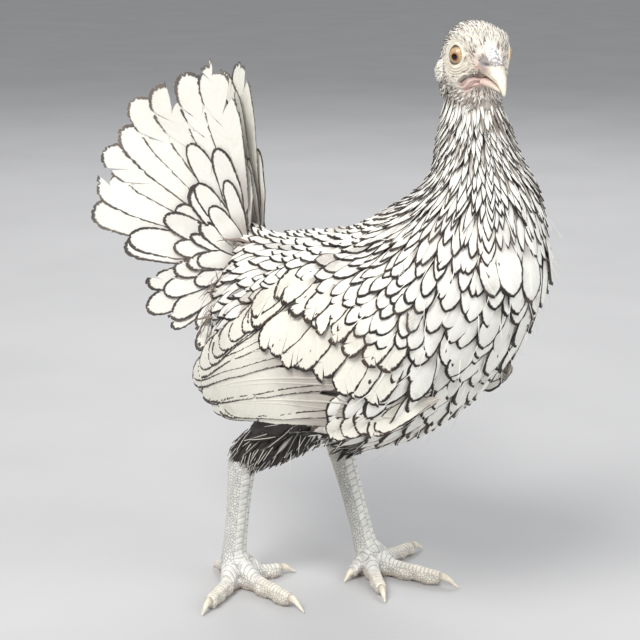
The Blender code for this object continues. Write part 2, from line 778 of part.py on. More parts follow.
def tail_stub(side):
    """The part of the tail's root that meets the torso's last ring."""
    rings = []
    for share in (0.0, 0.5, 1.0):
        ring = np.array(ring_shifted(0, -GAP / 2 - 16 * share, 0.0, 24))
        middle = ring.mean(axis=0)
        ring = middle + (ring - middle) * (1.0 - 0.3 * share**2)
        half = [p for p in ring if p[1] * side > -0.01]
        half.sort(key=lambda p: -p[2])
        rings.append([(p[0], side * max(abs(p[1]), GAP / 2), p[2]) for p in half])
    return loft("tail stub", rings)


def tail_feather(name, side, heading, start, end, width, outline, root_top, tip_top, tilt, depth, rows, bend=0.0):
    """One tail feather, fanned about the tail's root. heading is its angle above level in the side view."""
    a = math.radians(heading)
    along, down = np.array((-math.cos(a), math.sin(a))), np.array((-math.sin(a), -math.cos(a)))
    root = np.array(TAIL_ROOT)
    length = end - start

    def lay(s, w, h):
        x, z = root + along * (start + s) + down * (w + bend * (s / length) ** 2)
        return np.array((x, side * (tail_sheet(x, z) + tail_thickness(start + s) + h), z))

    return vane(name, lay, length, width, outline, root_top, tip_top, tilt, depth, rows)


def fan_outline(t):
    """Share of full width along a main tail feather: narrow where the fan is tight, broad near the tip."""
    return min(1.0, 0.34 + 1.05 * t) * math.sqrt(max(0.0, 1 - max(0.0, (t - 0.8) / 0.2) ** 2.3))


def make_tail(side):
    tail = tail_core(f"tail_{SIDE_NAMES[side]}", side)
    feathers = [tail_stub(side)]
    for k in range(TAIL_FEATHERS):
        share = k / (TAIL_FEATHERS - 1)
        heading = TAIL_STEEPEST + (TAIL_FLATTEST - TAIL_STEEPEST) * share
        end = TAIL_LENGTH - 15 * max(0, (share - 0.3) / 0.7) ** 1.3
        feathers.append(
            tail_feather(f"main {k}", side, heading, 24, end, TAIL_WIDTH, fan_outline, -0.2, 0.1, 0.055, VANE_THICK, LONG_ROWS, 3.0)
        )
    for tier, (high, low, count, reach, width) in TAIL_COVERTS.items():
        tip_top = 1.7 if tier == "covert" else 2.2
        for k in range(count):
            heading = high + (low - high) * k / (count - 1)
            end = reach * (1 - 0.14 * k / (count - 1))
            start = 14 if tier == "covert" else 4
            feathers.append(
                tail_feather(f"{tier} {k}", side, heading, start, end, width, broad_outline, -0.3, tip_top, 0.06, 1.7, SHORT_ROWS)
            )
    fuse(tail, feathers)
    carve(tail, [torso_cutter()])
    return finish(tail, "white feather", WHITE_FEATHER)


def frame_along(start, end, hint=(1.0, 0, 0)):
    """Unit vectors along a line and across it: the second as near to the hint as it can be."""
    along = np.asarray(end, float) - np.asarray(start, float)
    along /= np.linalg.norm(along)
    first = np.asarray(hint, float) - along * np.dot(hint, along)
    first /= np.linalg.norm(first)
    return along, first, np.cross(along, first)


def make_thigh(side):
    """The feathered drumstick, from under the wing down to the hock."""
    start, end = np.array(HOCK[side], float), np.array(THIGH_TOP[side], float)
    length = np.linalg.norm(end - start)
    along, first, second = frame_along(start, end)
    rings = []
    level = start + np.array((0, 0, GAP / 2))
    # share of the way up, half depth fore and aft, half width
    for share, deep, wide in ((0.0, 7.2, 6.6), (0.12, 9.0, 8.0), (0.3, 12.5, 10.5), (0.5, 16, 12.2), (0.75, 19, 14), (1.0, 19, 13.5)):
        ring = []
        for k in range(16):
            a = 2 * math.pi * k / 16
            if share == 0:
                ring.append(level + np.array((deep * math.cos(a), wide * math.sin(a), 0)))
            else:
                ring.append(start + along * length * share + first * deep * math.cos(a) + second * wide * math.sin(a))
        if share == 0 and second[1] < 0:
            ring = [level + np.array((deep * math.cos(2 * math.pi * k / 16), -wide * math.sin(2 * math.pi * k / 16), 0)) for k in range(16)]
        rings.append(ring)
    thigh = loft(f"thigh_{SIDE_NAMES[side]}", rings)
    carve(thigh, [torso_cutter()])
    return finish(thigh, "dark feather", DARK_FEATHER)


def pad_points(side, lift=0.0):
    """The rounded pad under the foot: rings from its flat sole up to where it takes the shank."""
    x, y = FOOT[side]
    rings = []
    for height, share in ((0.0, 0.78), (1.2, 0.94), (4.0, 1.0), (7.0, 0.9), (PAD_HEIGHT, 0.66)):
        radius = PAD_RADIUS * share + lift
        z = height + (lift if height == PAD_HEIGHT else 0) - (lift if height == 0 else 0)
        rings.append([
            (x + radius * math.cos(2 * math.pi * k / 16), y + radius * math.sin(2 * math.pi * k / 16), z)
            for k in range(16)
        ])
    return rings


def shank_rings(side, lift=0.0):
    """Rings of the bare shank. Overlapping scutes stand out on its front."""
    top, low = np.array(HOCK[side], float), np.array(ANKLE[side], float)
    low = low - (top - low) * 0.06
    rings = []
    sides = 10
    for k in range(SHANK_SCUTES):
        for edge in (0.03, 0.97):
            share = (k + edge) / SHANK_SCUTES
            radius = spline([(r,) for r in SHANK_RADII], share * (len(SHANK_RADII) - 1))[0]
            raised = 0.45 * edge
            centre = top + (low - top) * share
            if k == 0 and edge == 0.03:
                centre = top - np.array((0, 0, GAP / 2))
            ring = []
            for j in range(sides):
                a = 2 * math.pi * (j + 0.5) / sides
                front = max(0.0, math.cos(a))
                reach = radius + raised * min(1.0, front * 2) + lift
                ring.append((centre[0] + reach * 1.06 * math.cos(a), centre[1] + reach * 0.92 * math.sin(a), centre[2]))
            rings.append(ring)
    return rings


def make_shank(side):
    shank = loft(f"shank_{SIDE_NAMES[side]}", shank_rings(side))
    fuse(shank, [loft("pad", pad_points(side))])
    return finish(shank, "leg skin", LEG_SKIN, 0.6)


def foot_cutters(side):
    return [
        loft("pad room", pad_points(side, GAP)),
        loft("shank room", shank_rings(side, GAP)),
    ]


def toe_line(side, toe):
    """The toe's root, its heading as a unit vector, its length and its root's radius."""
    degrees, length, radius = TOES[side, toe]
    heading = math.radians(degrees)
    along = np.array((math.cos(heading), math.sin(heading), 0))
    root = np.array((*FOOT[side], 0)) + along * 4.5
    return root, along, length, radius


def toe_axis_height(toe, share, radius):
    """Height of the toe's middle line over the floor. Its pads press flat where the line is low."""
    lifted = HIND_RISE * (1 - share) if toe == "hind" else 0.0
    return radius * (0.98 - 0.14 * share) + lifted


def make_toe(side, toe):
    root, along, length, radius = toe_line(side, toe)
    across = np.array((-along[1], along[0], 0))
    scutes = max(4, round(length / SCUTE_LENGTH))
    rings = []
    for k in range(scutes):
        for edge in (0.04, 0.96):
            share = (k + edge) / scutes
            reach = -2 + (length + 2) * share
            thick = radius * (1 - 0.24 * share)
            pad = 1 + 0.10 * math.sin(2 * math.pi * (share * (3 if length > 20 else 2)) - 1.2)
            height = toe_axis_height(toe, share, radius)
            ring = []
            for j in range(TOE_SIDES):
                a = 2 * math.pi * j / TOE_SIDES
                up = math.cos(a)
                grow = 1 + 0.10 * edge * min(1.0, max(0.0, up) * 1.8) if up > 0 else pad
                point = root + along * reach + across * thick * 0.95 * math.sin(a) * (pad if up < 0.3 else 1)
                point[2] = max(0.0, height + thick * grow * up)
                ring.append(point)
            rings.append(ring)
    made = loft(f"toe_{toe}_{SIDE_NAMES[side]}", rings)
    carve(made, foot_cutters(side))
    return finish(made, "leg skin", LEG_SKIN, 0.6)


def make_claw(side, toe):
    """A curved, tapering claw that leaves the toe's end and comes down almost to the floor."""
    root, along, length, radius = toe_line(side, toe)
    across = np.array((-along[1], along[0], 0))
    start = root + along * (-2 + (length + 2) * (1 - 0.04 / max(4, round(length / SCUTE_LENGTH))) + GAP)
    long = CLAW_LENGTH[toe]
    base_height = radius * 1.05
    rings = []
    for k in range(5):
        t = k / 4
        thick = 2.0 * (1 - 0.84 * t**1.25) * (0.9 if toe == "hind" else 1.0)
        drop = base_height - 0.75
        middle = start + along * long * t
        height = base_height + 0.9 * math.sin(math.pi * min(t * 1.3, 1.0)) - drop * t**1.8
        slope = math.atan2(-drop * 1.8 * t**0.8, long)
        ring = []
        for j in range(6):
            a = 2 * math.pi * j / 6
            shift = 0.0 if k == 0 else math.sin(-slope) * thick * math.cos(a) * 0.8
            point = middle + across * thick * 0.72 * math.sin(a) + along * shift
            point[2] = max(0.35, height + thick * math.cos(a))
            ring.append(point)
        rings.append(ring)
    made = loft(f"claw_{toe}_{SIDE_NAMES[side]}", rings)
    return finish(made, "horn", HORN, 0.45)


def main():
    clear_scene()
    make_torso()
    make_neck()
    make_head()
    make_upper_bill()
    make_lower_bill()
    make_comb()
    tree = body_shape()
    for side in (RIGHT, LEFT):
        make_eye(side)
        make_earlobe(side)
        make_wing(side, tree)
        make_tail(side)
        make_thigh(side)
        make_shank(side)
        for toe in ("inner", "middle", "outer", "hind"):
            make_toe(side, toe)
            make_claw(side, toe)


main()
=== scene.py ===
# %% [markdown]
# This lesson dresses a still, life-size sebright bantam hen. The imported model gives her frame: plain solids
# for the torso, neck, head, wings, tail and legs, at their real size. Here she gets one skin, some
# thousands of laced feathers laid on it row by row, and separate eyes, bill, comb, lobes and claws.
# %% Load the frame
import math

import bmesh
import bpy
import numpy as np
from mathutils import Matrix, Vector, noise
from mathutils.bvhtree import BVHTree
from mathutils.kdtree import KDTree

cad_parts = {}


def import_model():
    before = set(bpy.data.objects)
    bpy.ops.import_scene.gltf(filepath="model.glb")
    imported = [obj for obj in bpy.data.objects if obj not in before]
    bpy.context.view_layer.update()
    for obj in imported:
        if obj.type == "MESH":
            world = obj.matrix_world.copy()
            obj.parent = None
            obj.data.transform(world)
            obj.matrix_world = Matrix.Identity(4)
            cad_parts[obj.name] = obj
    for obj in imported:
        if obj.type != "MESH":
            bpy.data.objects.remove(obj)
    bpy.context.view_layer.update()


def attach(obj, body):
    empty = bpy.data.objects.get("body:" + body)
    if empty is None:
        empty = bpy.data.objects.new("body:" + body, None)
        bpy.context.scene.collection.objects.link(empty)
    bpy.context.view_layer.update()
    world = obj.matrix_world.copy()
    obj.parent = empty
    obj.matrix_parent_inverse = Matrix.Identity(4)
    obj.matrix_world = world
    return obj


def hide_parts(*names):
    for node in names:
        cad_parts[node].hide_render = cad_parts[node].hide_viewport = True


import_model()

# %% [markdown]
# Sizes are in millimetres of the bird's own frame: x towards her breast, y to her left, z up from the
# floor, with her midplane at y = 0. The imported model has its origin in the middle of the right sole, so
# each mesh is shifted by that point and scaled to metres when it is made.
# %% Units
MM = 0.001
TAU = 2 * math.pi
RIGHT, LEFT = BOTH = -1, 1
AHEAD, LEFTWARD, UPWARD = np.eye(3)
SIDE_NAMES = {RIGHT: "right", LEFT: "left"}
FOOT = {RIGHT: (-34.7, -34.3), LEFT: (5.4, 19.6)}
ORIGIN = np.array((*FOOT[RIGHT], 0.0))
DRAW = np.random.default_rng(17)
WING_SEED, TAIL_SEED = 31, 52


def world(points):
    """Millimetres of the bird's frame in metres of the model's."""
    return (np.asarray(points, float) - ORIGIN) * MM


# %% [markdown]
# Every form below is a mesh made of arrays of points. These helpers build one, join and remesh closed parts
# as a sculptor kneads clay, and read or move a mesh's points. finish_piece is called once for each finished
# piece: it says which body the piece rides on and the nodes that it stands for.
# %% Meshes and modifiers
def mesh_object(name, points, faces):
    """An object from points in mm. faces is a list of index arrays, one for each number of corners."""
    mesh = bpy.data.meshes.new(name)
    corners = np.concatenate([np.asarray(f).ravel() for f in faces])
    sizes = np.concatenate([np.full(len(f), np.asarray(f).shape[1]) for f in faces])
    starts = np.concatenate([[0], np.cumsum(sizes)[:-1]])
    mesh.vertices.add(len(points))
    mesh.vertices.foreach_set("co", world(points).ravel().astype(np.float32))
    mesh.loops.add(len(corners))
    mesh.loops.foreach_set("vertex_index", corners.astype(np.int32))
    mesh.polygons.add(len(sizes))
    mesh.polygons.foreach_set("loop_start", starts.astype(np.int32))
    mesh.update(calc_edges=True)
    mesh.validate()
    made = bpy.data.objects.new(name, mesh)
    bpy.context.scene.collection.objects.link(made)
    return made


def pick_only(*objects):
    """Nothing else is selected, and the last object is the active one."""
    bpy.ops.object.select_all(action="DESELECT")
    for obj in objects:
        obj.select_set(True)
    bpy.context.view_layer.objects.active = objects[-1]


def stacked(*values):
    """Arrays side by side, such as x, y and z as places."""
    return np.stack(values, axis=-1)


def turn_steps(count):
    """Angles in even steps once round."""
    return np.arange(count) * TAU / count


def face_outwards(obj):
    work = bmesh.new()
    work.from_mesh(obj.data)
    bmesh.ops.recalc_face_normals(work, faces=work.faces)
    if work.calc_volume(signed=True) < 0:
        bmesh.ops.reverse_faces(work, faces=work.faces)
    work.to_mesh(obj.data)
    work.free()
    return obj


def tube_walls(index):
    """The four-cornered faces between rings of points."""
    ahead = np.roll(index, -1, axis=1)
    return stacked(index[:-1], ahead[:-1], ahead[1:], index[1:]).reshape(-1, 4)


def grid_cells(grid):
    """The four-cornered faces of a grid of points."""
    return stacked(grid[:-1, :-1], grid[:-1, 1:], grid[1:, 1:], grid[1:, :-1]).reshape(-1, 4)


def loft(name, rings):
    """A closed tube through rings of equal size."""
    rings = np.asarray(rings, float)
    count, sides = rings.shape[:2]
    index = np.arange(count * sides).reshape(count, sides)
    caps = np.stack([index[0], index[-1]])
    return face_outwards(mesh_object(name, rings.reshape(-1, 3), [tube_walls(index), caps]))


def apply(obj, kind, **values):
    """Adds a modifier with these values and applies it."""
    pick_only(obj)
    step = obj.modifiers.new(kind.lower(), kind)
    for key, value in values.items():
        setattr(step, key, value)
    bpy.ops.object.modifier_apply(modifier=step.name)
    return obj


def knead(name, parts, voxel, soften):
    """Joins closed parts and remeshes them to one smooth body. voxel is in millimetres."""
    pick_only(*parts)
    bpy.ops.object.join()
    made = bpy.context.view_layer.objects.active
    made.name = name
    made.data.name = name
    apply(made, "REMESH", mode="VOXEL", voxel_size=voxel * MM, use_smooth_shade=True)
    return apply(made, "SMOOTH", factor=0.5, iterations=soften)


def join_solid(core, other, operation="UNION"):
    """Joins or cuts with another closed solid, which goes."""
    apply(core, "BOOLEAN", operation=operation, object=other, solver="MANIFOLD")
    bpy.data.objects.remove(other, do_unlink=True)
    return core


def bird_points(obj):
    points = np.empty(3 * len(obj.data.vertices))
    obj.data.vertices.foreach_get("co", points)
    return points.reshape(-1, 3) / MM + ORIGIN


def set_points(obj, points):
    obj.data.vertices.foreach_set("co", world(points).ravel().astype(np.float32))
    obj.data.update()


def vertex_normals(obj):
    normals = np.empty(3 * len(obj.data.vertices))
    obj.data.vertex_normals.foreach_get("vector", normals)
    return normals.reshape(-1, 3)


def finish_piece(piece, material_slot, *nodes):
    """Says how a finished piece moves and which nodes of the model it stands for. material_slot is not used.
    """
    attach(piece, "root")
    if nodes:
        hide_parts(*nodes)
    print(piece.name, len(piece.data.polygons), "faces")


def push_out(obj, height):
    """Moves each point along its own normal, by a height in mm for each."""
    set_points(obj, bird_points(obj) + vertex_normals(obj) * height[:, None])


def noise_at(points, scale):
    """Smooth noise between about -1 and 1 at each point."""
    return np.array([noise.noise(Vector(p) * scale) for p in points])


def unit(vectors):
    length = np.linalg.norm(vectors, axis=-1, keepdims=True)
    return vectors / np.maximum(length, 1e-9)


def smooth_step(low, high, value):
    t = np.clip((value - low) / (high - low), 0, 1)
    return t * t * (3 - 2 * t)


def spline(rows, u):
    """The rows' smooth curve at u, where whole numbers are the rows themselves."""
    rows = np.asarray(rows, float)
    u = np.asarray(u, float)
    k = np.clip(np.floor(u).astype(int), 0, len(rows) - 2)
    t = (u - k)[..., None]
    start, end = rows[k], rows[k + 1]
    slope_start = (end - rows[np.maximum(k - 1, 0)]) / 2
    slope_end = (rows[np.minimum(k + 2, len(rows) - 1)] - start) / 2
    return (
        start * (2 * t**3 - 3 * t**2 + 1)
        + slope_start * (t**3 - 2 * t**2 + t)
        + end * (3 * t**2 - 2 * t**3)
        + slope_end * (t**3 - t**2)
    )


# %% [markdown]
# The torso and neck of the solids are one tube of tilted ovals. The same stations are used here: each gives
# the back line, the breast or belly line and the half width. The solids' surface is where the tips of the
# body feathers lie, so it also guides the coat.
# %% Torso and neck
STATIONS = {
    "tail root": ((-50, 167), (-54, 150), 10),
    "vent": ((-43, 171), (-62, 124), 27),
    "rump": ((-29, 174), (-52, 98), 40),
    "hip": ((-11, 177), (-27, 81), 46.5),
    "loin": ((6, 180.5), (5, 76), 49.5),
    "mid back": ((20, 185.5), (36, 80), 50),
    "shoulder": ((34, 193), (66, 98), 48),
    "breast": ((45, 201), (93, 128), 43.5),
    "crop": ((52.5, 210), (110.5, 161), 36),
    "neck base": ((58.5, 219.5), (109.5, 190), 26.5),
    "low neck": ((63, 230.5), (99.5, 214), 18.5),
    "mid neck": ((65.5, 240.5), (93.5, 232), 14),
    "upper neck": ((66, 250), (89, 248), 11.8),
    "nape": ((66.5, 262), (88, 262), 11.5),
}
BODY_ROWS = [(*back, *belly, half) for back, belly, half in STATIONS.values()]
LAST_STATION = len(BODY_ROWS) - 1
BODY_SIDES = 64


def body_point(u, angle, lift=0.0):
    """A point on the torso and neck. Angle 0 is the back, pi the belly, and positive the left side."""
    u, angle = np.broadcast_arrays(np.asarray(u, float), np.asarray(angle, float))
    back_x, back_z, low_x, low_z, half = np.moveaxis(spline(BODY_ROWS, u), -1, 0)
    rise_x, rise_z = (back_x - low_x) / 2, (back_z - low_z) / 2
    grow = 1 + lift / np.hypot(rise_x, rise_z)
    up, out = np.cos(angle) * grow, np.sin(angle) * (half + lift)
    return stacked((back_x + low_x) / 2 + rise_x * up, out, (back_z + low_z) / 2 + rise_z * up)


def body_tube(name, torso_lift=0.0, neck_lift=0.0, nape_lift=0.0):
    along = np.arange(0, LAST_STATION + 0.01, 0.2)[:, None]
    around = turn_steps(BODY_SIDES)
    lift = torso_lift + (neck_lift - torso_lift) * smooth_step(7, 11, along)
    lift = lift + nape_lift * (0.5 + 0.5 * np.cos(around)) * smooth_step(10.5, 12.5, along)
    return loft(name, body_point(along, around, lift))


# %% [markdown]
# The head has its own frame, turned to her right and tipped a little down, with x forward through the bill.
# The eye, the lobe, the comb and the bill all hang on it.
# %% Head frame
HEAD_CENTRE = np.array((77.5, 0, 264.0))
HEAD_TURN = np.array(Matrix.Rotation(math.radians(-25), 3, "Z") @ Matrix.Rotation(math.radians(10), 3, "Y"))
# x, top, bottom, half width
HEAD_STATIONS = [
    (-17.0, 1.0, -6.5, 4.0),
    (-14.5, 7.5, -12.0, 7.8),
    (-9.5, 12.6, -16.0, 10.6),
    (-3.0, 15.2, -18.0, 13.0),
    (4.0, 14.8, -17.0, 14.0),
    (8.5, 11.8, -14.5, 12.2),
    (11.5, 7.6, -11.6, 8.6),
    (13.0, 4.8, -9.4, 6.0),
]
HEAD_SQUARE = 2.4


def in_head(points):
    """Points of the head's own frame, in the bird's."""
    return np.asarray(points, float) @ HEAD_TURN.T + HEAD_CENTRE


def to_head(points):
    return (np.asarray(points, float) - HEAD_CENTRE) @ HEAD_TURN


def folded_head(points):
    """Points of the bird's frame in the head's, with the right side folded onto the left."""
    near = to_head(points)
    near[:, 1] = np.abs(near[:, 1])
    return near


def oval_ring(x, top, low, half, sides, square=2.0):
    """An upright oval of the head's frame, a little squarer than an ellipse if square is over 2."""
    a = turn_steps(sides)
    up = np.sign(np.cos(a)) * np.abs(np.cos(a)) ** (2 / square)
    out = np.sign(np.sin(a)) * np.abs(np.sin(a)) ** (2 / square)
    return in_head(stacked(np.full(sides, x), half * out, (top + low) / 2 + (top - low) / 2 * up))


def skull(name, lift=0.0, sides=40, per_station=4):
    steps = (len(HEAD_STATIONS) - 1) * per_station
    rings = []
    for k in range(steps + 1):
        x, top, low, half = spline(HEAD_STATIONS, k / per_station)
        rings.append(oval_ring(x, top + lift, low - lift, half + lift, sides, HEAD_SQUARE))
    return loft(name, rings)


# %% [markdown]
# A folded wing is a thin plate that lies on the side of the torso in front and stands free of it behind.
# Its sheet says how far from the midplane each place of the side view lies. The tail is two such plates
# that part from each other downwards and back. Both come from the solids.
# %% Wing and tail sheets
def soft_maximum(a, b, blend=5.0):
    return (a + b + np.sqrt((a - b) ** 2 + blend**2)) / 2


side_tube = body_tube("side tube")
SIDE_TREE = BVHTree.FromPolygons(
    bird_points(side_tube).tolist(), [tuple(p.vertices) for p in side_tube.data.polygons]
)
bpy.data.objects.remove(side_tube, do_unlink=True)


def torso_half(x, z):
    """Half width of the torso at places of the side view."""
    x, z = np.broadcast_arrays(np.asarray(x, float), np.asarray(z, float))
    found = np.zeros(x.size)
    for k, (px, pz) in enumerate(zip(x.ravel(), z.ravel())):
        hit = SIDE_TREE.ray_cast(Vector((px, -300, pz)), Vector((0, 1, 0)))[0]
        if hit:
            found[k] = abs(hit.y)
    return found.reshape(x.shape)


def wing_sheet(x, z):
    x, z = np.asarray(x, float), np.asarray(z, float)
    bend = np.where(x < 25, 0.0026, 0.0060)
    free = 50 - bend * (x - 25) ** 2 - 0.0042 * (z - 122) ** 2
    return soft_maximum(torso_half(x, z) + 0.3, free)


def wing_thickness(x, z):
    p = np.clip((80 - x) / 105, 0, 1)
    low, top = 92 + 30 * (1 - p) ** 3, 146 + 31 * (1 - np.abs(p - 0.3)) ** 1.5
    q = np.clip((z - low) / (top - low), 0, 1)
    bulge = np.sqrt(4 * q * (1 - q))
    return 1.1 + 5.6 * bulge * np.minimum(1, 0.3 + 4 * p) * (1 - 0.8 * p)


TAIL_ROOT = (-50.5, 158.5)
TAIL_STEEPEST, TAIL_FLATTEST = 79, 16


def tail_sheet(x, z):
    dx, dz = TAIL_ROOT[0] - x, z - TAIL_ROOT[1]
    heading = np.degrees(np.arctan2(dz, dx))
    share = np.clip((TAIL_STEEPEST - heading) / (TAIL_STEEPEST - TAIL_FLATTEST), -0.2, 1.4)
    return 2.0 + np.hypot(dx, dz) * np.tan(np.radians(3.5 + 17.5 * share))


def tail_thickness(reach):
    return 1.0 + 2.6 * np.maximum(0, 1 - np.asarray(reach) / 40)


# %% [markdown]
# Thighs are feathered drumsticks that end at the hock. In the guide they run a little way on over the
# shank, so that the lowest feathers hang over it and don't curl in.
# %% Thighs
HOCK = {RIGHT: (-32, -33.5, 65), LEFT: (-16, 22, 62)}
ANKLE = {RIGHT: (-38.4, -34.3, 9), LEFT: (5.0, 20, 9)}
THIGH_TOP = {RIGHT: (6, -22, 103), LEFT: (20, 20, 103)}
# share of the way up, half depth fore and aft, half width
THIGH_RINGS = (
    (0.0, 8.2, 7.6), (0.12, 9.4, 8.4), (0.3, 12.5, 10.5), (0.5, 16, 12.2), (0.75, 19, 14), (1.0, 19, 13.5),
)


def frame_along(start, end, hint=(1.0, 0, 0)):
    """Unit vectors along a line and across it: the second as near to the hint as it can be."""
    along = unit(np.asarray(end, float) - np.asarray(start, float))
    first = unit(np.asarray(hint, float) - along * np.dot(hint, along))
    return along, first, np.cross(along, first)


def oval_at(centre, first, second, deep, wide, sides):
    a = turn_steps(sides)
    return centre + np.outer(np.cos(a) * deep, first) + np.outer(np.sin(a) * wide, second)


def straight_rings(start, end, radii, sides):
    """Round rings in even steps along a line."""
    _, first, second = frame_along(start, end, (0, 0, 1.0))
    steps = zip(np.linspace(0, 1, len(radii)), radii)
    return np.array([oval_at(start + (end - start) * k, first, second, r, r, sides) for k, r in steps])


def thigh(name, side, lift, sleeve):
    """One feathered leg as far as the hock. sleeve is how far it runs on over the shank."""
    start, end, low = (np.array(v[side], float) for v in (HOCK, THIGH_TOP, ANKLE))
    length = np.linalg.norm(end - start)
    along, first, second = frame_along(start, end)
    rings = []
    down, ahead, across = frame_along(low, start)
    for reach, radius in ((sleeve, 6.4), (sleeve * 0.5, 7.3)):
        rings.append(oval_at(start - down * reach, ahead, across, radius + lift, radius + lift, 32))
    for share, deep, wide in THIGH_RINGS:
        rings.append(oval_at(start + along * length * share, first, second, deep + lift, wide + lift, 32))
    return loft(name, rings)


# %% [markdown]
# The guide is one smooth body in the outer shape of the coat: tube, head, thighs, the front of each folded
# wing and the root of the tail are joined, remeshed and softened, as a sculptor blends lumps of clay. The
# feathers are laid on it. The skin is a copy of it that lies deeper, so no seam shows between the parts.
# %% Guide
WING_TOP = [(76, 166), (50, 177), (20, 175), (-8, 163), (-30, 146)]
WING_LOW = [(84, 136), (70, 110), (44, 97), (12, 92), (-22, 92)]


def wing_slab(name, side, lift, reach, filled):
    """The folded wing's flesh, for a share of its length. If filled, its upper part meets the torso."""
    p = np.linspace(0, reach, 25)
    q = np.linspace(0, 1, 19)
    low, top = spline(WING_LOW, p * 4), spline(WING_TOP, p * 4)
    inset = unit(top - low) * max(0.0, -1.6 * lift)
    low, top = low + inset, top - inset
    places = low[:, None] + (top - low)[:, None] * q[:, None]
    x, z = places[..., 0], places[..., 1]
    sheet = wing_sheet(x, z)
    edge = np.sqrt(np.clip(4 * q * (1 - q), 0, 1))
    outer = sheet + (wing_thickness(x, z) + lift) * (0.15 + 0.85 * edge)
    inner = sheet - 5
    if filled:
        inner = np.minimum(inner, inner + (torso_half(x, z) - 3 - inner) * smooth_step(128, 142, z))
    rings = []
    for row in range(len(p)):
        front = stacked(x[row], side * outer[row], z[row])
        back = stacked(x[row], side * inner[row], z[row])[::-1]
        rings.append(np.concatenate([front, back]))
    return loft(name, rings)


def tail_wedge(name, lift):
    """The fleshy root of the tail with the bases of its coverts."""
    rings = []
    ovals = np.array(((-12, 17, 15), (0, 15, 12), (12, 13, 9), (22, 9, 6))) + (0, lift, lift)
    for reach, tall, wide in ovals:
        centre = np.array((TAIL_ROOT[0] + 3 - reach * 0.93, 0, TAIL_ROOT[1] + reach * 0.36))
        rings.append(oval_at(centre, np.array((0.36, 0, 0.93)), LEFTWARD, tall, wide, 24))
    return loft(name, rings)


def lean(points):
    """The low neck stands a little further forward than in the solids, and steeper on the back."""
    x, z = points[:, 0], points[:, 2]
    near = np.exp(-(((z - 208) / 15) ** 2)) * smooth_step(38, 54, x)
    return points + stacked((3.6 + 3.0 * smooth_step(85, 60, x)) * near, 0 * x, 0 * x)


def clay(name, body_lift, thigh_lift, wing_lift, wing_reach, filled, sleeve, voxel, soften):
    parts = [body_tube("body", *body_lift), skull("skull", -0.6), tail_wedge("tail wedge", body_lift[0])]
    for side in BOTH:
        parts.append(thigh(f"thigh {side}", side, thigh_lift, sleeve))
        parts.append(wing_slab(f"slab {side}", side, wing_lift, wing_reach, filled))
    made = knead(name, parts, voxel, soften)
    set_points(made, lean(bird_points(made)))
    return made


guide = clay("guide", (0.0, 0.0, 2.4), 0.0, 1.2, 1.0, True, 6.0, 1.7, 7)
print("guide faces:", len(guide.data.polygons))


class Surface:
    """A smooth mesh on which feathers are laid."""

    def __init__(self, obj):
        self.points = bird_points(obj)
        self.normals = vertex_normals(obj)
        faces = []
        for p in obj.data.polygons:
            corners = tuple(p.vertices)
            faces += [(corners[0], corners[k], corners[k + 1]) for k in range(1, len(corners) - 1)]
        self.faces = np.array(faces)
        self.tree = BVHTree.FromPolygons(self.points.tolist(), faces)

    def snap(self, places):
        """The nearest places on the surface, and its smooth normals there."""
        spots = np.empty_like(places)
        hits = np.empty(len(places), int)
        for k, place in enumerate(places):
            spot, _, face, _ = self.tree.find_nearest(Vector(place))
            spots[k] = spot
            hits[k] = face
        corners = self.faces[hits]
        away = np.linalg.norm(self.points[corners] - spots[:, None], axis=-1)
        weight = 1 / (away + 0.05)
        normals = (self.normals[corners] * weight[..., None]).sum(axis=1)
        return spots, unit(normals)

    def sprinkle(self, count, keep):
        """Random places, evenly over the part of the surface that is kept."""
        faces = self.faces[keep(self.points[self.faces].mean(axis=1))]
        a, b, c = (self.points[faces[:, k]] for k in range(3))
        area = np.linalg.norm(np.cross(b - a, c - a), axis=1)
        chosen = DRAW.choice(len(area), size=count, p=area / area.sum())
        s, t = DRAW.random(count), DRAW.random(count)
        over = s + t > 1
        s[over], t[over] = 1 - s[over], 1 - t[over]
        return a[chosen] + (b - a)[chosen] * s[:, None] + (c - a)[chosen] * t[:, None]


body_surface = Surface(guide)

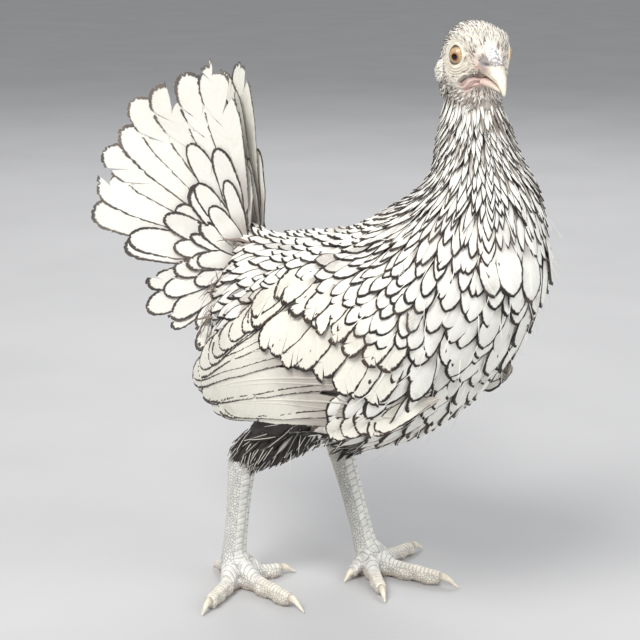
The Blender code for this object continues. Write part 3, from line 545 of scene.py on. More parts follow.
# %% [markdown]
# A bird's small feathers change over her body: narrow points on the neck, long ovals on the breast, scales
# on the back and wing bow, loose dark fluff at the belly and thighs. A few control places state what grows
# there, and every feather takes a blend of those near it. The right side is stated, and the left mirrors
# it.
# %% Coat table
# place, lie, space across and along, length, width, pointed, lace width, dark share, lift of the tip
BODY_COAT = {
    "nape": ((65, 0, 256), (-0.12, 0, -1), 1.1, 2.9, 11, 1.6, 1.0, 0.18, 0.22, 2.4),
    "throat": ((88, 0, 246), (0.1, 0, -1), 1.1, 2.6, 9, 1.6, 0.95, 0.16, 0.55, 1.0),
    "upper side": ((76, 12, 250), (0.0, 0, -1), 1.1, 2.9, 11, 1.6, 1.0, 0.18, 0.14, 1.8),
    "mid front": ((95, 0, 229), (0.2, 0, -1), 1.35, 3.6, 13, 2.0, 0.95, 0.26, 0.18, 0.8),
    "mid side": ((78, 15, 234), (-0.05, 0.05, -1), 1.35, 3.8, 14, 2.0, 1.0, 0.28, 0.12, 1.0),
    "mid back": ((63, 0, 236), (-0.2, 0, -1), 1.4, 4.0, 15, 2.1, 1.0, 0.30, 0.12, 1.7),
    "low front": ((102, 0, 210), (0.3, 0, -1), 2.3, 5.4, 17, 3.5, 0.6, 0.42, 0.06, 0.7),
    "low side": ((84, 22, 214), (-0.15, 0.15, -1), 1.9, 5.0, 17, 2.9, 0.8, 0.46, 0.08, 0.9),
    "cape back": ((56, 8, 217), (-0.7, 0.1, -0.7), 1.9, 5.4, 18, 2.9, 0.95, 0.50, 0.08, 1.1),
    "cape side": ((62, 30, 198), (-0.65, 0.2, -0.75), 2.6, 6.0, 18, 3.9, 0.7, 0.66, 0.06, 1.0),
    "base front": ((111, 0, 188), (0.05, 0, -1), 4.7, 8.0, 20, 7.0, 0.25, 0.80, 0.02, 0.7),
    "base side": ((92, 28, 192), (-0.2, 0.15, -1), 4.0, 7.2, 19, 5.8, 0.25, 0.85, 0.03, 0.7),
    "shoulder front": ((80, 38, 172), (-0.45, 0.1, -0.9), 4.4, 6.6, 16, 6.2, 0.1, 0.95, 0.02, 0.9),
    "crop front": ((111, 0, 160), (-0.08, 0, -1), 7.6, 12.6, 31, 11.4, 0.03, 0.95, 0.0, 0.7),
    "crop side": ((92, 33, 165), (-0.35, 0.1, -1), 6.1, 9.4, 24, 9.0, 0.05, 0.95, 0.0, 0.6),
    "breast front": ((95, 0, 130), (-0.55, 0, -0.8), 7.2, 12.2, 31, 10.6, 0.06, 1.15, 0.0, 0.8),
    "breast side": ((76, 38, 133), (-0.75, 0.1, -0.6), 6.4, 11, 28, 9.4, 0.12, 1.20, 0.0, 0.8),
    "keel": ((68, 0, 98), (-0.9, 0, -0.4), 5.6, 11.0, 26, 7.8, 0.25, 1.25, 0.0, 1.1),
    "keel side": ((55, 32, 100), (-0.95, 0, -0.25), 5.4, 11.0, 26, 7.6, 0.3, 1.3, 0.0, 1.3),
    "belly": ((22, 0, 77), (-1, 0, 0.0), 3.0, 7.0, 20, 3.8, 0.85, 1.2, 0.96, 2.2),
    "flank": ((5, 40, 98), (-0.9, 0, -0.4), 3.0, 7.0, 20, 3.8, 0.8, 1.2, 0.9, 1.6),
    "hind belly": ((-30, 0, 82), (-1, 0, 0.15), 3.2, 7.2, 19, 4.2, 0.8, 1.2, 0.95, 2.2),
    "vent": ((-56, 0, 108), (-0.85, 0, 0.45), 4.2, 9.0, 20, 6.0, 0.4, 0.9, 0.35, 2.4),
    "vent side": ((-44, 28, 112), (-0.85, 0.15, -0.4), 5.2, 10.5, 23, 7.6, 0.3, 1.0, 0.30, 2.0),
    "under tail": ((-60, 0, 136), (-0.8, 0, 0.6), 4.4, 9.0, 19, 6.4, 0.3, 0.85, 0.1, 2.0),
    "mid spine": ((22, 0, 187), (-1, 0, -0.25), 4.2, 6.6, 15, 5.9, 0.3, 0.80, 0.03, 0.8),
    "shoulder top": ((40, 22, 192), (-0.9, 0.1, -0.4), 4.4, 6.8, 16, 6.1, 0.3, 0.85, 0.04, 0.9),
    "back side": ((5, 26, 176), (-1, 0.05, -0.3), 4.6, 7.0, 16, 6.4, 0.3, 0.88, 0.05, 0.8),
    "saddle": ((-14, 0, 178), (-1, 0, -0.1), 3.9, 6.8, 16, 5.3, 0.5, 0.80, 0.06, 0.9),
    "saddle side": ((-24, 26, 164), (-0.95, 0.1, -0.5), 4.5, 8.8, 21, 6.3, 0.35, 0.95, 0.06, 1.2),
    "rump": ((-44, 0, 172), (-1, 0, 0.15), 4.4, 8.0, 18, 6.2, 0.4, 0.75, 0.03, 1.2),
    "rump side": ((-48, 16, 155), (-0.85, 0.2, -0.55), 5.6, 11, 25, 8.2, 0.3, 1.0, 0.05, 2.0),
    "wing front": ((72, 44, 150), (-0.6, 0.1, -0.8), 4.6, 6.2, 14, 6.4, 0.08, 0.98, 0.02, 0.9),
    "wing bow": ((52, 52, 152), (-0.6, 0, -0.75), 5.2, 7.0, 15, 7.2, 0.06, 1.0, 0.02, 0.9),
    "wing mid": ((34, 56, 158), (-0.68, 0, -0.68), 5.5, 7.4, 16, 7.6, 0.06, 1.0, 0.02, 0.9),
    "wing top": ((20, 44, 172), (-0.85, 0, -0.5), 5.0, 7.2, 16, 7.0, 0.12, 0.92, 0.04, 0.9),
    "wing low": ((70, 46, 116), (-0.8, 0, -0.6), 5.4, 8.4, 19, 7.6, 0.15, 1.05, 0.02, 1.0),
    "thigh": ((4, 36, 88), (-0.6, 0, -0.8), 2.0, 5.2, 15, 2.4, 0.95, 0.5, 1.0, 1.6),
    "low thigh": ((-24, 30, 74), (-0.45, 0, -0.9), 1.8, 4.4, 11, 2.0, 1.0, 0.4, 1.0, 1.5),
    "hock": ((-28, 30, 60), (-0.2, 0, -1), 1.6, 3.8, 8.0, 1.7, 1.0, 0.4, 1.0, 1.0),
}


def table_arrays(table):
    rows = list(table.values())
    places = np.array([r[0] for r in rows], float)
    values = np.array([(*unit(np.array(r[1], float)), *r[2:]) for r in rows], float)
    return places, values


def blend_table(table, points, reach=7.0):
    """What grows at these points: lie, then the table's other columns. The left mirrors the right."""
    places, values = table_arrays(table)
    folded = points * (1, 0, 1) + np.abs(points) * (0, 1, 0)
    away = ((folded[:, None] - places) ** 2).sum(axis=-1)
    weight = 1 / (away + reach**2) ** 2.2
    weight /= weight.sum(axis=1, keepdims=True)
    mixed = weight @ values
    mixed[:, 1] *= np.tanh(points[:, 1] / 7.0)
    return mixed


# %% [markdown]
# Real feathers grow in tracts, in even rows. Places are sprinkled at random and kept where none is nearer
# than the spacing there, counted in steps across and along the lie. A few rounds of pushing the neighbours
# apart then even them out.
# %% Growing places
NEAREST = 0.74  # square of the least distance between two sprinkled places, in steps
EVEN, PUSH, NEIGHBOURS = 1.15, 0.28, 13  # distance aimed at, share of the way moved in a round, places asked
SHARED_DEPTH = 8.0  # mm through the body that count as one step, so its two sides don't crowd each other


def lie_frame(normals, lie):
    """Unit vectors along the lie and across it, in the surface."""
    along = unit(lie - normals * (lie * normals).sum(axis=-1, keepdims=True))
    return along, np.cross(normals, along)


def on_body(points):
    return blend_table(BODY_COAT, points)


def grow_places(surface, lookup, keep, tries, rounds=4):
    places = surface.sprinkle(tries, keep)
    normals = surface.snap(places)[1]
    grown = lookup(places)
    along, across = lie_frame(normals, grown[:, :3])
    kept = []
    spots = np.empty((len(places), 3))
    for k in range(len(places)):
        gap = spots[: len(kept)] - places[k]
        a, b = gap @ across[k] / grown[k, 3], gap @ along[k] / grown[k, 4]
        depth = gap @ normals[k] / SHARED_DEPTH
        if not len(kept) or (a * a + b * b + depth * depth).min() > NEAREST:
            spots[len(kept)] = places[k]
            kept.append(k)
    places = places[kept]
    for _ in range(rounds):
        places, normals = surface.snap(places)
        grown = lookup(places)
        along, across = lie_frame(normals, grown[:, :3])
        tree = KDTree(len(places))
        for k, place in enumerate(places):
            tree.insert(place, k)
        tree.balance()
        asked = min(NEIGHBOURS, len(places))
        near = np.array([[i for _, i, _ in tree.find_n(place, asked)] for place in places])
        gap = places[:, None] - places[near]
        a = (gap * across[:, None]).sum(axis=-1) / grown[:, None, 3]
        b = (gap * along[:, None]).sum(axis=-1) / grown[:, None, 4]
        away = np.sqrt(a * a + b * b)
        close = (away > 1e-6) & (away < EVEN)
        push = np.where(close, (EVEN - away) * PUSH, 0) / np.maximum(away, 1e-6)
        places = places + across * ((push * a).sum(axis=1) * grown[:, 3])[:, None]
        places = places + along * ((push * b).sum(axis=1) * grown[:, 4])[:, None]
    places, normals = surface.snap(places)
    inside = keep(places)
    return places[inside], normals[inside]


# %% [markdown]
# A small feather is a closed, thin, arched vane. Its rim is a knife edge shared by its two faces, and its
# outer face has a few columns of points across and rows along. All feathers of one kind share this plan, so
# thousands can be laid with a few array sums: each row of points is set over the surface further on, and a
# little higher, which makes the feathers shingle.
# %% Vanes
BODY_PLAN = ((-1, -0.74, -0.38, 0, 0.38, 0.74, 1), (0, 0.24, 0.44, 0.61, 0.75, 0.86, 0.94, 0.985))
SLIM_PLAN = ((-1, -0.5, 0, 0.5, 1), (0, 0.3, 0.56, 0.77, 0.91, 0.98))
BRISTLE_PLAN = ((-1, 0, 1), (0, 0.4, 0.75, 0.95))


def outline(t, pointed):
    """Share of full width along a feather, from broad and round-tipped to pointed."""
    tip = np.clip((t - 0.62) / 0.38, 0, 1)
    round_tipped = np.minimum(1, 0.36 + 1.25 * t) * np.sqrt(np.clip(1 - tip**2.1, 0, 1))
    sharp = np.minimum(1, 0.5 + 1.4 * t) * (1 - np.clip((t - 0.38) / 0.62, 0, 1) ** 1.5)
    return round_tipped * (1 - pointed) + sharp * pointed


def vane_faces(columns, rows):
    """Index arrays of one vane: its outer points row by row, then the tip, then one inner point a row."""
    grid = np.arange(rows * columns).reshape(rows, columns)
    tip = rows * columns
    under = tip + 1 + np.arange(rows)
    quads = [grid_cells(grid)]
    left, right = grid[:, 0], grid[:, -1]
    quads.append(stacked(left[:-1], left[1:], under[1:], under[:-1]))
    quads.append(stacked(under[:-1], under[1:], right[1:], right[:-1]))
    last, first = grid[-1], grid[0]
    triangles = [(last[k], last[k + 1], tip) for k in range(columns - 1)]
    triangles += [(last[0], tip, under[-1]), (under[-1], tip, last[-1])]
    triangles += [(first[k + 1], first[k], under[0]) for k in range(columns - 1)]
    return np.concatenate(quads), np.array(triangles)


# %% [markdown]
# To lay the vanes, each feather's midline is marched over the surface, step by step along the lie. Rows of
# points are then set across it. Each point also learns its place on the vane and its distance from the rim,
# which the lace needs, and its place on the colour bake's map.
# %% Laying the vanes
VANES_AT_ONCE = 400  # so that the arrays stay small
SHARP_EDGE = math.radians(62)


def rim_distance(across, along, half, length, pointed):
    """How far each point of each vane is from the vane's rim, in millimetres."""
    t = np.concatenate([np.linspace(0, 0.6, 13), np.linspace(0.63, 1, 24)])
    wide = outline(t, pointed[:, None]) * half[:, None]
    far = t * length[:, None]
    found = np.empty_like(across)
    for start in range(0, len(across), VANES_AT_ONCE):
        part = slice(start, start + VANES_AT_ONCE)
        dx = np.abs(across[part])[..., None] - wide[part][:, None]
        dy = along[part][..., None] - far[part][:, None]
        found[part] = np.sqrt((dx**2 + dy**2).min(axis=-1))
    return found


def march(surface, places, normals, lie, length, steps):
    """Runs each feather's midline over the surface: its points, and the ways up and sideways there."""
    spine, ups, sides = [], [], []
    spot, up = places, normals
    heading = lie_frame(up, lie)[0]
    last = 0.0
    for t in steps:
        if t > 0:
            spot, up = surface.snap(spot + heading * (length * (t - last))[:, None])
            heading = lie_frame(up, heading)[0]
        last = t
        spine.append(spot)
        ups.append(up)
        sides.append(np.cross(up, heading))
    spine, ups, sides = (np.stack(v, axis=1) for v in (spine, ups, sides))
    ups[:, 1:-1] = unit(ups[:, :-2] + 2 * ups[:, 1:-1] + ups[:, 2:])
    return spine, ups, sides


def lay_vanes(name, surface, places, normals, lie, size, plan, root_depth, unwrap):
    """One mesh of many vanes. size has for each: length, width, pointed, lace, dark share and lift."""
    columns, rows = np.array(plan[0], float), np.array(plan[1], float)
    count, m, n = len(places), len(columns), len(rows)
    length, width, pointed, lace, dark, lift = size.T
    t_all = np.append(rows, 1.0)
    spine, ups, sides = march(surface, places, normals, lie, length, t_all)
    ragged = 1 + DRAW.normal(0, 0.035, (count, n + 1, m))
    half = width / 2
    wide = outline(t_all, pointed[:, None]) * half[:, None]
    across = wide[..., None] * columns * ragged
    stray = DRAW.normal(0, 1, (count, 3))
    tilt, swing, shift = stray[:, 0] * 0.05, stray[:, 1] * 0.05, np.abs(stray[:, 2]) * 0.018 * width
    bend = (t_all * length[:, None] * swing[:, None])[..., None]
    height = -root_depth[:, None] + (lift + root_depth)[:, None] * t_all**0.8 + shift[:, None]
    arch = (width * (0.13 - 0.005 * width))[:, None, None] * np.abs(columns) ** 2
    rachis = 0.03 * width[:, None, None] * (np.abs(columns) < 0.01)
    rise = height[..., None] - arch + rachis + tilt[:, None, None] * across
    outer = spine[:, :, None] + sides[:, :, None] * (across + bend)[..., None]
    outer = outer + ups[:, :, None] * rise[..., None]
    thick = (0.035 * width + 0.12)[:, None]
    inner_rise = height[:, :-1] - 0.06 * width[:, None] - thick
    inner = spine[:, :-1] + sides[:, :-1] * bend[:, :-1] + ups[:, :-1] * inner_rise[..., None]
    rows_out, tip = outer[:, :n].reshape(count, -1, 3), outer[:, n, m // 2][:, None]
    points = np.concatenate([rows_out, tip, inner], axis=1)

    far = np.broadcast_to((t_all * length[:, None])[..., None], across.shape)
    flat_x = np.concatenate([across[:, :n].reshape(count, -1), np.zeros((count, 1 + n))], axis=1)
    flat_y = np.concatenate([far[:, :n].reshape(count, -1), length[:, None], far[:, :n, 0]], axis=1)
    smooth_x = np.concatenate(
        [(wide[:, :n, None] * columns).reshape(count, -1), np.zeros((count, 1 + n))], axis=1
    )
    rim = rim_distance(smooth_x, flat_y, half, length, pointed)
    on_rim = np.concatenate([np.tile(np.abs(columns) == 1, n), [True], np.zeros(n, bool)])
    rim[:, on_rim] = 0.0

    quads, triangles = vane_faces(m, n)
    each = points.shape[1]
    offset = (np.arange(count) * each)[:, None, None]
    made = mesh_object(
        name, points.reshape(-1, 3), [(quads + offset).reshape(-1, 4), (triangles + offset).reshape(-1, 3)]
    )
    chance = DRAW.random(count)
    is_dark = np.clip((dark - chance) * 12, 0, 1)
    look = stacked(lace, is_dark, DRAW.random(count))
    patch_x = flat_x / np.maximum(half, 0.1)[:, None] * 0.0014
    patch_y = flat_y / length[:, None] * 0.0028
    paint_attributes(
        made,
        stacked(flat_x, flat_y, rim).reshape(-1, 3),
        np.repeat(look, each, axis=0),
        np.repeat(stacked(0 * length, length, width), each, axis=0),
        (unwrap[:, None] + stacked(patch_x, patch_y)).reshape(-1, 2),
    )
    return made


def write_vectors(obj, name, values):
    """Gives each point of a mesh three numbers that its material can read."""
    layer = obj.data.attributes.new(name, "FLOAT_VECTOR", "POINT")
    layer.data.foreach_set("vector", np.ascontiguousarray(values, np.float32).ravel())


def paint_attributes(obj, vane, look, extent, patches):
    """vane: across, along and from the rim, in mm. look: lace width, darkness, chance. extent: 0 and size."""
    mesh = obj.data
    for name, values in (("vane", vane), ("look", look), ("extent", extent)):
        write_vectors(obj, name, values)
    corners = np.empty(len(mesh.loops), np.int32)
    mesh.loops.foreach_get("vertex_index", corners)
    bake = mesh.uv_layers.new(name="OFBake")
    bake.data.foreach_set("uv", np.ascontiguousarray(patches[corners], np.float32).ravel())
    mesh.shade_smooth()
    mesh.set_sharp_from_angle(angle=SHARP_EDGE)


grid_u, grid_a = np.meshgrid(np.arange(0, 13.01, 0.1), np.linspace(-math.pi, math.pi, 96, endpoint=False))
grid_spots = body_point(grid_u, grid_a).reshape(-1, 3)
grid_uv = stacked(grid_u.ravel() / 13.2, grid_a.ravel() / TAU + 0.5) * 0.98 + 0.008
unwrap_tree = KDTree(len(grid_spots))
for k, spot in enumerate(grid_spots):
    unwrap_tree.insert(spot, k)
unwrap_tree.balance()


def tube_unwrap(places):
    """Each place on the unwrapped tube of torso and neck: along it, and round it from the belly."""
    near = np.array([unwrap_tree.find(Vector(p))[1] for p in places])
    return grid_uv[near] + DRAW.uniform(-0.002, 0.002, (len(places), 2))


# %% [markdown]
# One effect is shared by every feather: barbs that run out from the shaft at a slant, a thin dark lace
# along the rim whose inner edge follows them, and the shaft itself. It is a node group that reads where a
# point is on its own vane, so the pattern is at the feather's own scale and stays on it from every side.
# %% Node helpers
class Wires:
    """Short ways to add and link nodes in one tree."""

    def __init__(self, tree):
        self.tree = tree

    def add(self, kind, inputs=None, **settings):
        node = self.tree.nodes.new(kind)
        for key, value in settings.items():
            setattr(node, key, value)
        for key, value in (inputs or {}).items():
            if isinstance(value, bpy.types.NodeSocket):
                self.tree.links.new(value, node.inputs[key])
            else:
                node.inputs[key].default_value = value
        return node

    def sum(self, operation, *values):
        return self.add("ShaderNodeMath", dict(enumerate(values)), operation=operation).outputs[0]

    def times(self, first, second):
        return self.sum("MULTIPLY", first, second)

    def plus(self, first, second):
        return self.sum("ADD", first, second)

    def minus(self, first, second):
        return self.sum("SUBTRACT", first, second)

    def vector(self, x, y, z):
        return self.add("ShaderNodeCombineXYZ", {0: x, 1: y, 2: z}).outputs[0]

    def grey(self, value):
        return self.vector(value, value, value)

    def range(self, value, low, high, start=0.0, end=1.0):
        inputs = {"Value": value, "From Min": low, "From Max": high, "To Min": start, "To Max": end}
        return self.add("ShaderNodeMapRange", inputs, interpolation_type="SMOOTHSTEP").outputs[0]

    def mix(self, factor, first, second, blend="MIX"):
        first, second = ((*v, 1) if isinstance(v, tuple) else v for v in (first, second))
        inputs = {0: factor, 6: first, 7: second}
        return self.add("ShaderNodeMix", inputs, data_type="RGBA", blend_type=blend).outputs[2]

    def noise(self, vector, scale, detail=2.0, rough=0.5):
        inputs = {"Vector": vector, "Scale": scale, "Detail": detail, "Roughness": rough}
        return self.add("ShaderNodeTexNoise", inputs).outputs[0]

    def attribute(self, name):
        return self.add("ShaderNodeAttribute", attribute_name=name).outputs["Vector"]

    def split(self, vector):
        return self.add("ShaderNodeSeparateXYZ", {0: vector}).outputs

    def object_place(self):
        return self.add("ShaderNodeTexCoord").outputs["Object"]


def node_group(name, inputs, outputs):
    """A shader node group with named sockets, and its wires, its input sockets and its output node."""
    group = bpy.data.node_groups.new(name, "ShaderNodeTree")
    for socket, kind in inputs.items():
        group.interface.new_socket(name=socket, in_out="INPUT", socket_type=kind)
    for socket, kind in outputs.items():
        group.interface.new_socket(name=socket, in_out="OUTPUT", socket_type=kind)
    wires = Wires(group)
    return group, wires, wires.add("NodeGroupInput").outputs, wires.add("NodeGroupOutput").inputs


def new_material(name, roughness=0.5, **constants):
    """A material with its Principled shader, whose constant values are set on its own sockets."""
    made = bpy.data.materials.new(name)
    made.use_nodes = True
    shader = made.node_tree.nodes["Principled BSDF"]
    shader.inputs["Roughness"].default_value = roughness
    for key, value in constants.items():
        shader.inputs[key.replace("_", " ")].default_value = value
    return made, Wires(made.node_tree), shader


def wire_up(wires, shader, colour=None, height=None, distance=0.0001, strength=0.5, roughness=None):
    if colour is not None:
        wires.tree.links.new(colour, shader.inputs["Base Color"])
    if roughness is not None:
        wires.tree.links.new(roughness, shader.inputs["Roughness"])
    if height is not None:
        bump = wires.add("ShaderNodeBump", {"Height": height, "Strength": strength, "Distance": distance})
        wires.tree.links.new(bump.outputs[0], shader.inputs["Normal"])


def dress(obj, material):
    obj.data.materials.clear()
    obj.data.materials.append(material)
    return obj


# %% [markdown]
# The pattern reads three attributes of a point: where it lies on its vane, how its vane is to look, and how
# large the vane is. It gives out masks only, so that each kind of feather can choose its own colours.
# %% The vane's pattern
BARB_SLANT = 1.25  # how far a barb runs on along the feather for each step out from the shaft
BARB_PITCH = 0.42  # mm between the ridges that groups of barbs make

FLOAT = "NodeSocketFloat"
vane_pattern, w, given, out = node_group(
    "Vane pattern",
    {"Ragged": FLOAT},
    {"Lace": FLOAT, "Barbs": FLOAT, "Shaft": FLOAT, "Along": FLOAT, "Dark": FLOAT, "Chance": FLOAT},
)
across, along, rim = w.split(w.attribute("vane"))
lace_width, is_dark, chance = w.split(w.attribute("look"))
_, vane_length, vane_width = w.split(w.attribute("extent"))
out_from_shaft = w.sum("ABSOLUTE", across)
barb_place = w.minus(along, w.times(out_from_shaft, BARB_SLANT))
shifted = w.plus(barb_place, w.times(chance, 91.0))
ridges = w.sum("SINE", w.times(shifted, TAU / BARB_PITCH))
barb_vector = w.vector(shifted, w.times(across, 0.12), 0.0)
clumps = w.noise(barb_vector, 1.1, 3.0, 0.6)
own_place = w.vector(shifted, across, chance)
wobble = w.minus(w.noise(own_place, 0.55, 2.0), 0.5)
part_way = w.sum("DIVIDE", along, vane_length)
lace_reach = w.times(lace_width, w.range(part_way, 0.5, 0.98, 0.7, 1.5))
edge = w.plus(rim, w.times(w.times(wobble, lace_reach), given["Ragged"]))
edge = w.plus(edge, w.times(ridges, 0.05))
inner_rim = w.times(lace_reach, 0.72)
lace = w.minus(1.0, w.range(edge, inner_rim, w.times(lace_reach, 1.12)))
shaft_half = w.times(w.minus(1.15, part_way), w.times(vane_width, 0.018))
shaft_half = w.plus(shaft_half, w.times(is_dark, 0.09))
shaft = w.minus(1.0, w.range(out_from_shaft, shaft_half, w.plus(shaft_half, 0.10)))
barb_height = w.plus(w.times(ridges, 0.25), clumps)
for socket, value in (
    ("Lace", lace), ("Barbs", barb_height), ("Shaft", shaft),
    ("Along", part_way), ("Dark", is_dark), ("Chance", chance),
):
    vane_pattern.links.new(value, out[socket])
print("vane pattern nodes:", len(vane_pattern.nodes))


# %% [markdown]
# Body feathers are cream-white with an almost black lace, and some have a brown cast where they are worn.
# The loose feathers of belly and thighs are dark with pale shafts. Wing and tail feathers are creamier,
# with a thinner lace.
# %% Feather materials
CREAM_WHITE = (0.945, 0.93, 0.865)


def scaled(colour, *factors):
    return tuple(min(1.0, v * f) for v, f in zip(colour, factors))


def feather_material(name, white, dark, ragged=0.7, brown=0.0, fluff=(0.026, 0.022, 0.020), shafts=0.9,
                     down=(0.12, 0.42)):
    """Paint for one kind of feather.

    white is the web's colour, dark the lace's and fluff a loose feather's. ragged is how uneven the lace's
    inner edge is, brown how strong the worn stains are, shafts how pale a loose feather's shaft is, and down
    the share of the length over which the soft base ends.
    """
    made, w, shader = new_material(name, 0.62, Specular_IOR_Level=0.28)
    group = w.add("ShaderNodeGroup", node_tree=vane_pattern)
    group.inputs["Ragged"].default_value = ragged
    lace, barbs, shaft, along, is_dark, chance = (
        group.outputs[k] for k in ("Lace", "Barbs", "Shaft", "Along", "Dark", "Chance")
    )
    shade = w.range(barbs, 0.2, 0.9, 0.84, 1.0)
    shade = w.times(shade, w.range(chance, 0.0, 1.0, 0.92, 1.0))
    pale = w.mix(1.0, white, w.grey(shade), "MULTIPLY")
    downy = w.minus(1.0, w.range(along, *down))
    pale = w.mix(w.times(downy, 0.75), pale, (0.34, 0.30, 0.27))
    pale = w.mix(w.times(shaft, 0.35), pale, scaled(white, 0.8, 0.8, 0.8))
    place = w.object_place()
    patchy = w.noise(place, 55.0, 2.0)
    inky = w.mix(w.range(patchy, 0.35, 0.7), dark, scaled(dark, 2.3, 2.0, 1.8))
    colour = w.mix(lace, pale, inky)
    if brown:
        worn = w.times(w.range(w.noise(place, 38.0, 3.0, 0.6), 0.56, 0.66), brown)
        worn = w.times(worn, w.range(barbs, 0.3, 0.7))
        colour = w.mix(worn, colour, (0.22, 0.17, 0.135))
    streak = w.range(barbs, 0.35, 0.95)
    loose = w.mix(w.times(streak, 0.35), fluff, scaled(fluff, 3.2, 3.2, 3.2))
    pale_shaft = w.times(w.times(shaft, shafts), w.range(chance, 0.25, 0.5))
    loose = w.mix(pale_shaft, loose, (0.72, 0.69, 0.63))
    colour = w.mix(is_dark, colour, loose)
    wire_up(w, shader, colour, barbs, 0.00012, 0.35)
    return made


laced = feather_material("laced feather", CREAM_WHITE, (0.022, 0.019, 0.018), brown=0.7)
neck_paint = feather_material(
    "neck feather", CREAM_WHITE, (0.03, 0.025, 0.023), brown=0.3, fluff=(0.20, 0.17, 0.15)
)
print("feather materials:", laced.name, neck_paint.name)

# %% [markdown]
# The small feathers of torso, neck, wing bows and thighs are grown tract by tract. A tract is a function
# that says for each place whether it belongs. Under the folded wing nothing shows, so nothing grows there.
# %% Where feathers grow
NECK_BASE = 186  # the height that parts the neck's feathers from the body's


def under_wing(points):
    """Places on the wing and the flank that the long wing feathers cover."""
    x, y, z = points.T
    low_line = 83.5 + 0.26 * np.maximum(0, x + 20) + 2.0 * np.clip(x - 44, 0, 10)
    high_line = np.minimum(143 + 0.42 * (81 - x), 166 + 0.73 * (x - 12) - 0.7 * np.clip(-x - 28, 0, 14))
    return (x < 66 + 0.2 * (z - 120)) & (x > -70) & (z > low_line) & (z < high_line) & (np.abs(y) > 24)


def tail_base(points):
    return (points[:, 0] < -60) & (points[:, 2] > 128 - 0.3 * (points[:, 0] + 52))


def neck_tract(points):
    x, _, z = to_head(points).T
    on_head = (z > -15.5 + 0.55 * np.maximum(0, -x - 4)) & (points[:, 2] > 243)
    return (points[:, 2] > NECK_BASE) & ~on_head


def body_tract(points):
    x, y, z = points.T
    thin = (z < 92) & (np.abs(y) > 12) & (x < 22)
    return (z <= NECK_BASE) & ~under_wing(points) & ~tail_base(points) & ~low_tract(points) & ~thin


def above_hock(points):
    """Not so low on a leg that the feathers hide the bare shank: they end lowest in front."""
    x, y, z = points.T
    keep = np.ones(len(points), bool)
    for side, slope in ((RIGHT, 0.85), (LEFT, 1.5)):
        hock_x, hock_y, hock_z = HOCK[side]
        forward = np.clip(0.75 * (x - hock_x) + 0.65 * (y - hock_y), -8, 8)
        keep &= (y * side < 0) | (z > hock_z + 8 - slope * forward)
    return keep


def low_tract(points):
    """Belly, flanks and thighs: loose, narrow, dark feathers."""
    x, z = points[:, 0], points[:, 2]
    low = (z < 92 + 0.28 * (x + 20) * (x < 45)) & (z < 100) & (x < 42) & (x > -60)
    return low & ~under_wing(points) & above_hock(points)


def coat_piece(name, keep, plan, tries, paint, slot_name, surface=body_surface, lookup=on_body,
               unwrap=tube_unwrap, fuller=1.16, stray=0.08):
    """Grows one tract of feathers. fuller widens them and stray turns each a little from the lie."""
    places, normals = grow_places(surface, lookup, keep, tries)
    grown = lookup(places)
    lie, (length, width, pointed, lace, dark, lift) = grown[:, :3], grown[:, 5:].T
    vary = DRAW.normal(0, 1, (3, len(places)))
    length = length * (1 + 0.07 * vary[0])
    width = width * (1 + 0.07 * vary[1]) * fuller
    lift = lift * (1 + 0.3 * np.clip(vary[2], -2, 2))
    lie = lie + DRAW.normal(0, stray, lie.shape)
    size = stacked(length, width, pointed, lace, dark, lift)
    depth = np.minimum(2.8, 0.12 * length)
    made = lay_vanes(name, surface, places, normals, lie, size, plan, depth, unwrap(places))
    dress(made, paint)
    finish_piece(made, slot_name)


def all_alike(*columns):
    """A lookup by which the same feather grows everywhere, along the body's lie."""

    def lookup(points):
        grown = on_body(points)
        grown[:, 3:] = columns
        return grown

    return lookup


def front_and_low(points):
    x, z = points[:, 0], points[:, 2]
    return (z < 205) & (z > 76) & ((x > 60) | (z < 96)) & (x > 0)


def beside_tail(points):
    x, z = points[:, 0], points[:, 2]
    return (x < -45) & (x > -68) & (z > 122) & (z < 192) & (np.abs(points[:, 1]) > 5)


# space across and along, length, width, pointed, lace width, dark share, lift of the tip
WISP = all_alike(9, 11, 14, 0.34, 1.0, 0.0, 0.0, 5.0)
DOWN = all_alike(3.0, 4.5, 19, 1.2, 1.0, 0.3, 1.0, 6.5)

# %% [markdown]
# Now the tracts are grown, each as a piece of its own: neck, body, belly and thighs, lone white wisps, and
# the brown down that shows at the tail's base. The tail's coverts are made later, with the tail.
# %% Grow the small feathers
coat_piece("neck_feathers", neck_tract, SLIM_PLAN, 16000, neck_paint, "laced_feather")
coat_piece("body_feathers", body_tract, BODY_PLAN, 12000, laced, "laced_feather")
coat_piece("belly_and_thigh_feathers", low_tract, SLIM_PLAN, 12000, laced, "dark_feather", stray=0.22)
plain_white, _, _ = new_material("wisp", 0.6, Base_Color=(0.92, 0.90, 0.84, 1))
coat_piece(
    "wispy_feathers", front_and_low, BRISTLE_PLAN, 1500, plain_white, "laced_feather", lookup=WISP, stray=0.3
)
DOWN_BROWN = (0.21, 0.17, 0.145)
brown_down = feather_material("brown down", (0.6, 0.55, 0.5), (0.1, 0.08, 0.07), fluff=DOWN_BROWN, shafts=0.5)
coat_piece(
    "tail_base_fluff", beside_tail, BRISTLE_PLAN, 1500, brown_down, "laced_feather", lookup=DOWN, stray=0.35
)

# %% [markdown]
# On the breast a few very large feathers lie over the others, one over the tip of the next. More feathers
# close the partings down both sides of the neck's front, from which the others turn away.
# %% Large breast feathers
PARTING = (
    (88.6, -6.2, 243), (89.4, -7.1, 238.8), (93, -10.9, 222.3), (97.4, -16.8, 206.2), (102, -22.2, 186.8),
)
PARTING_FEATHERS = 22
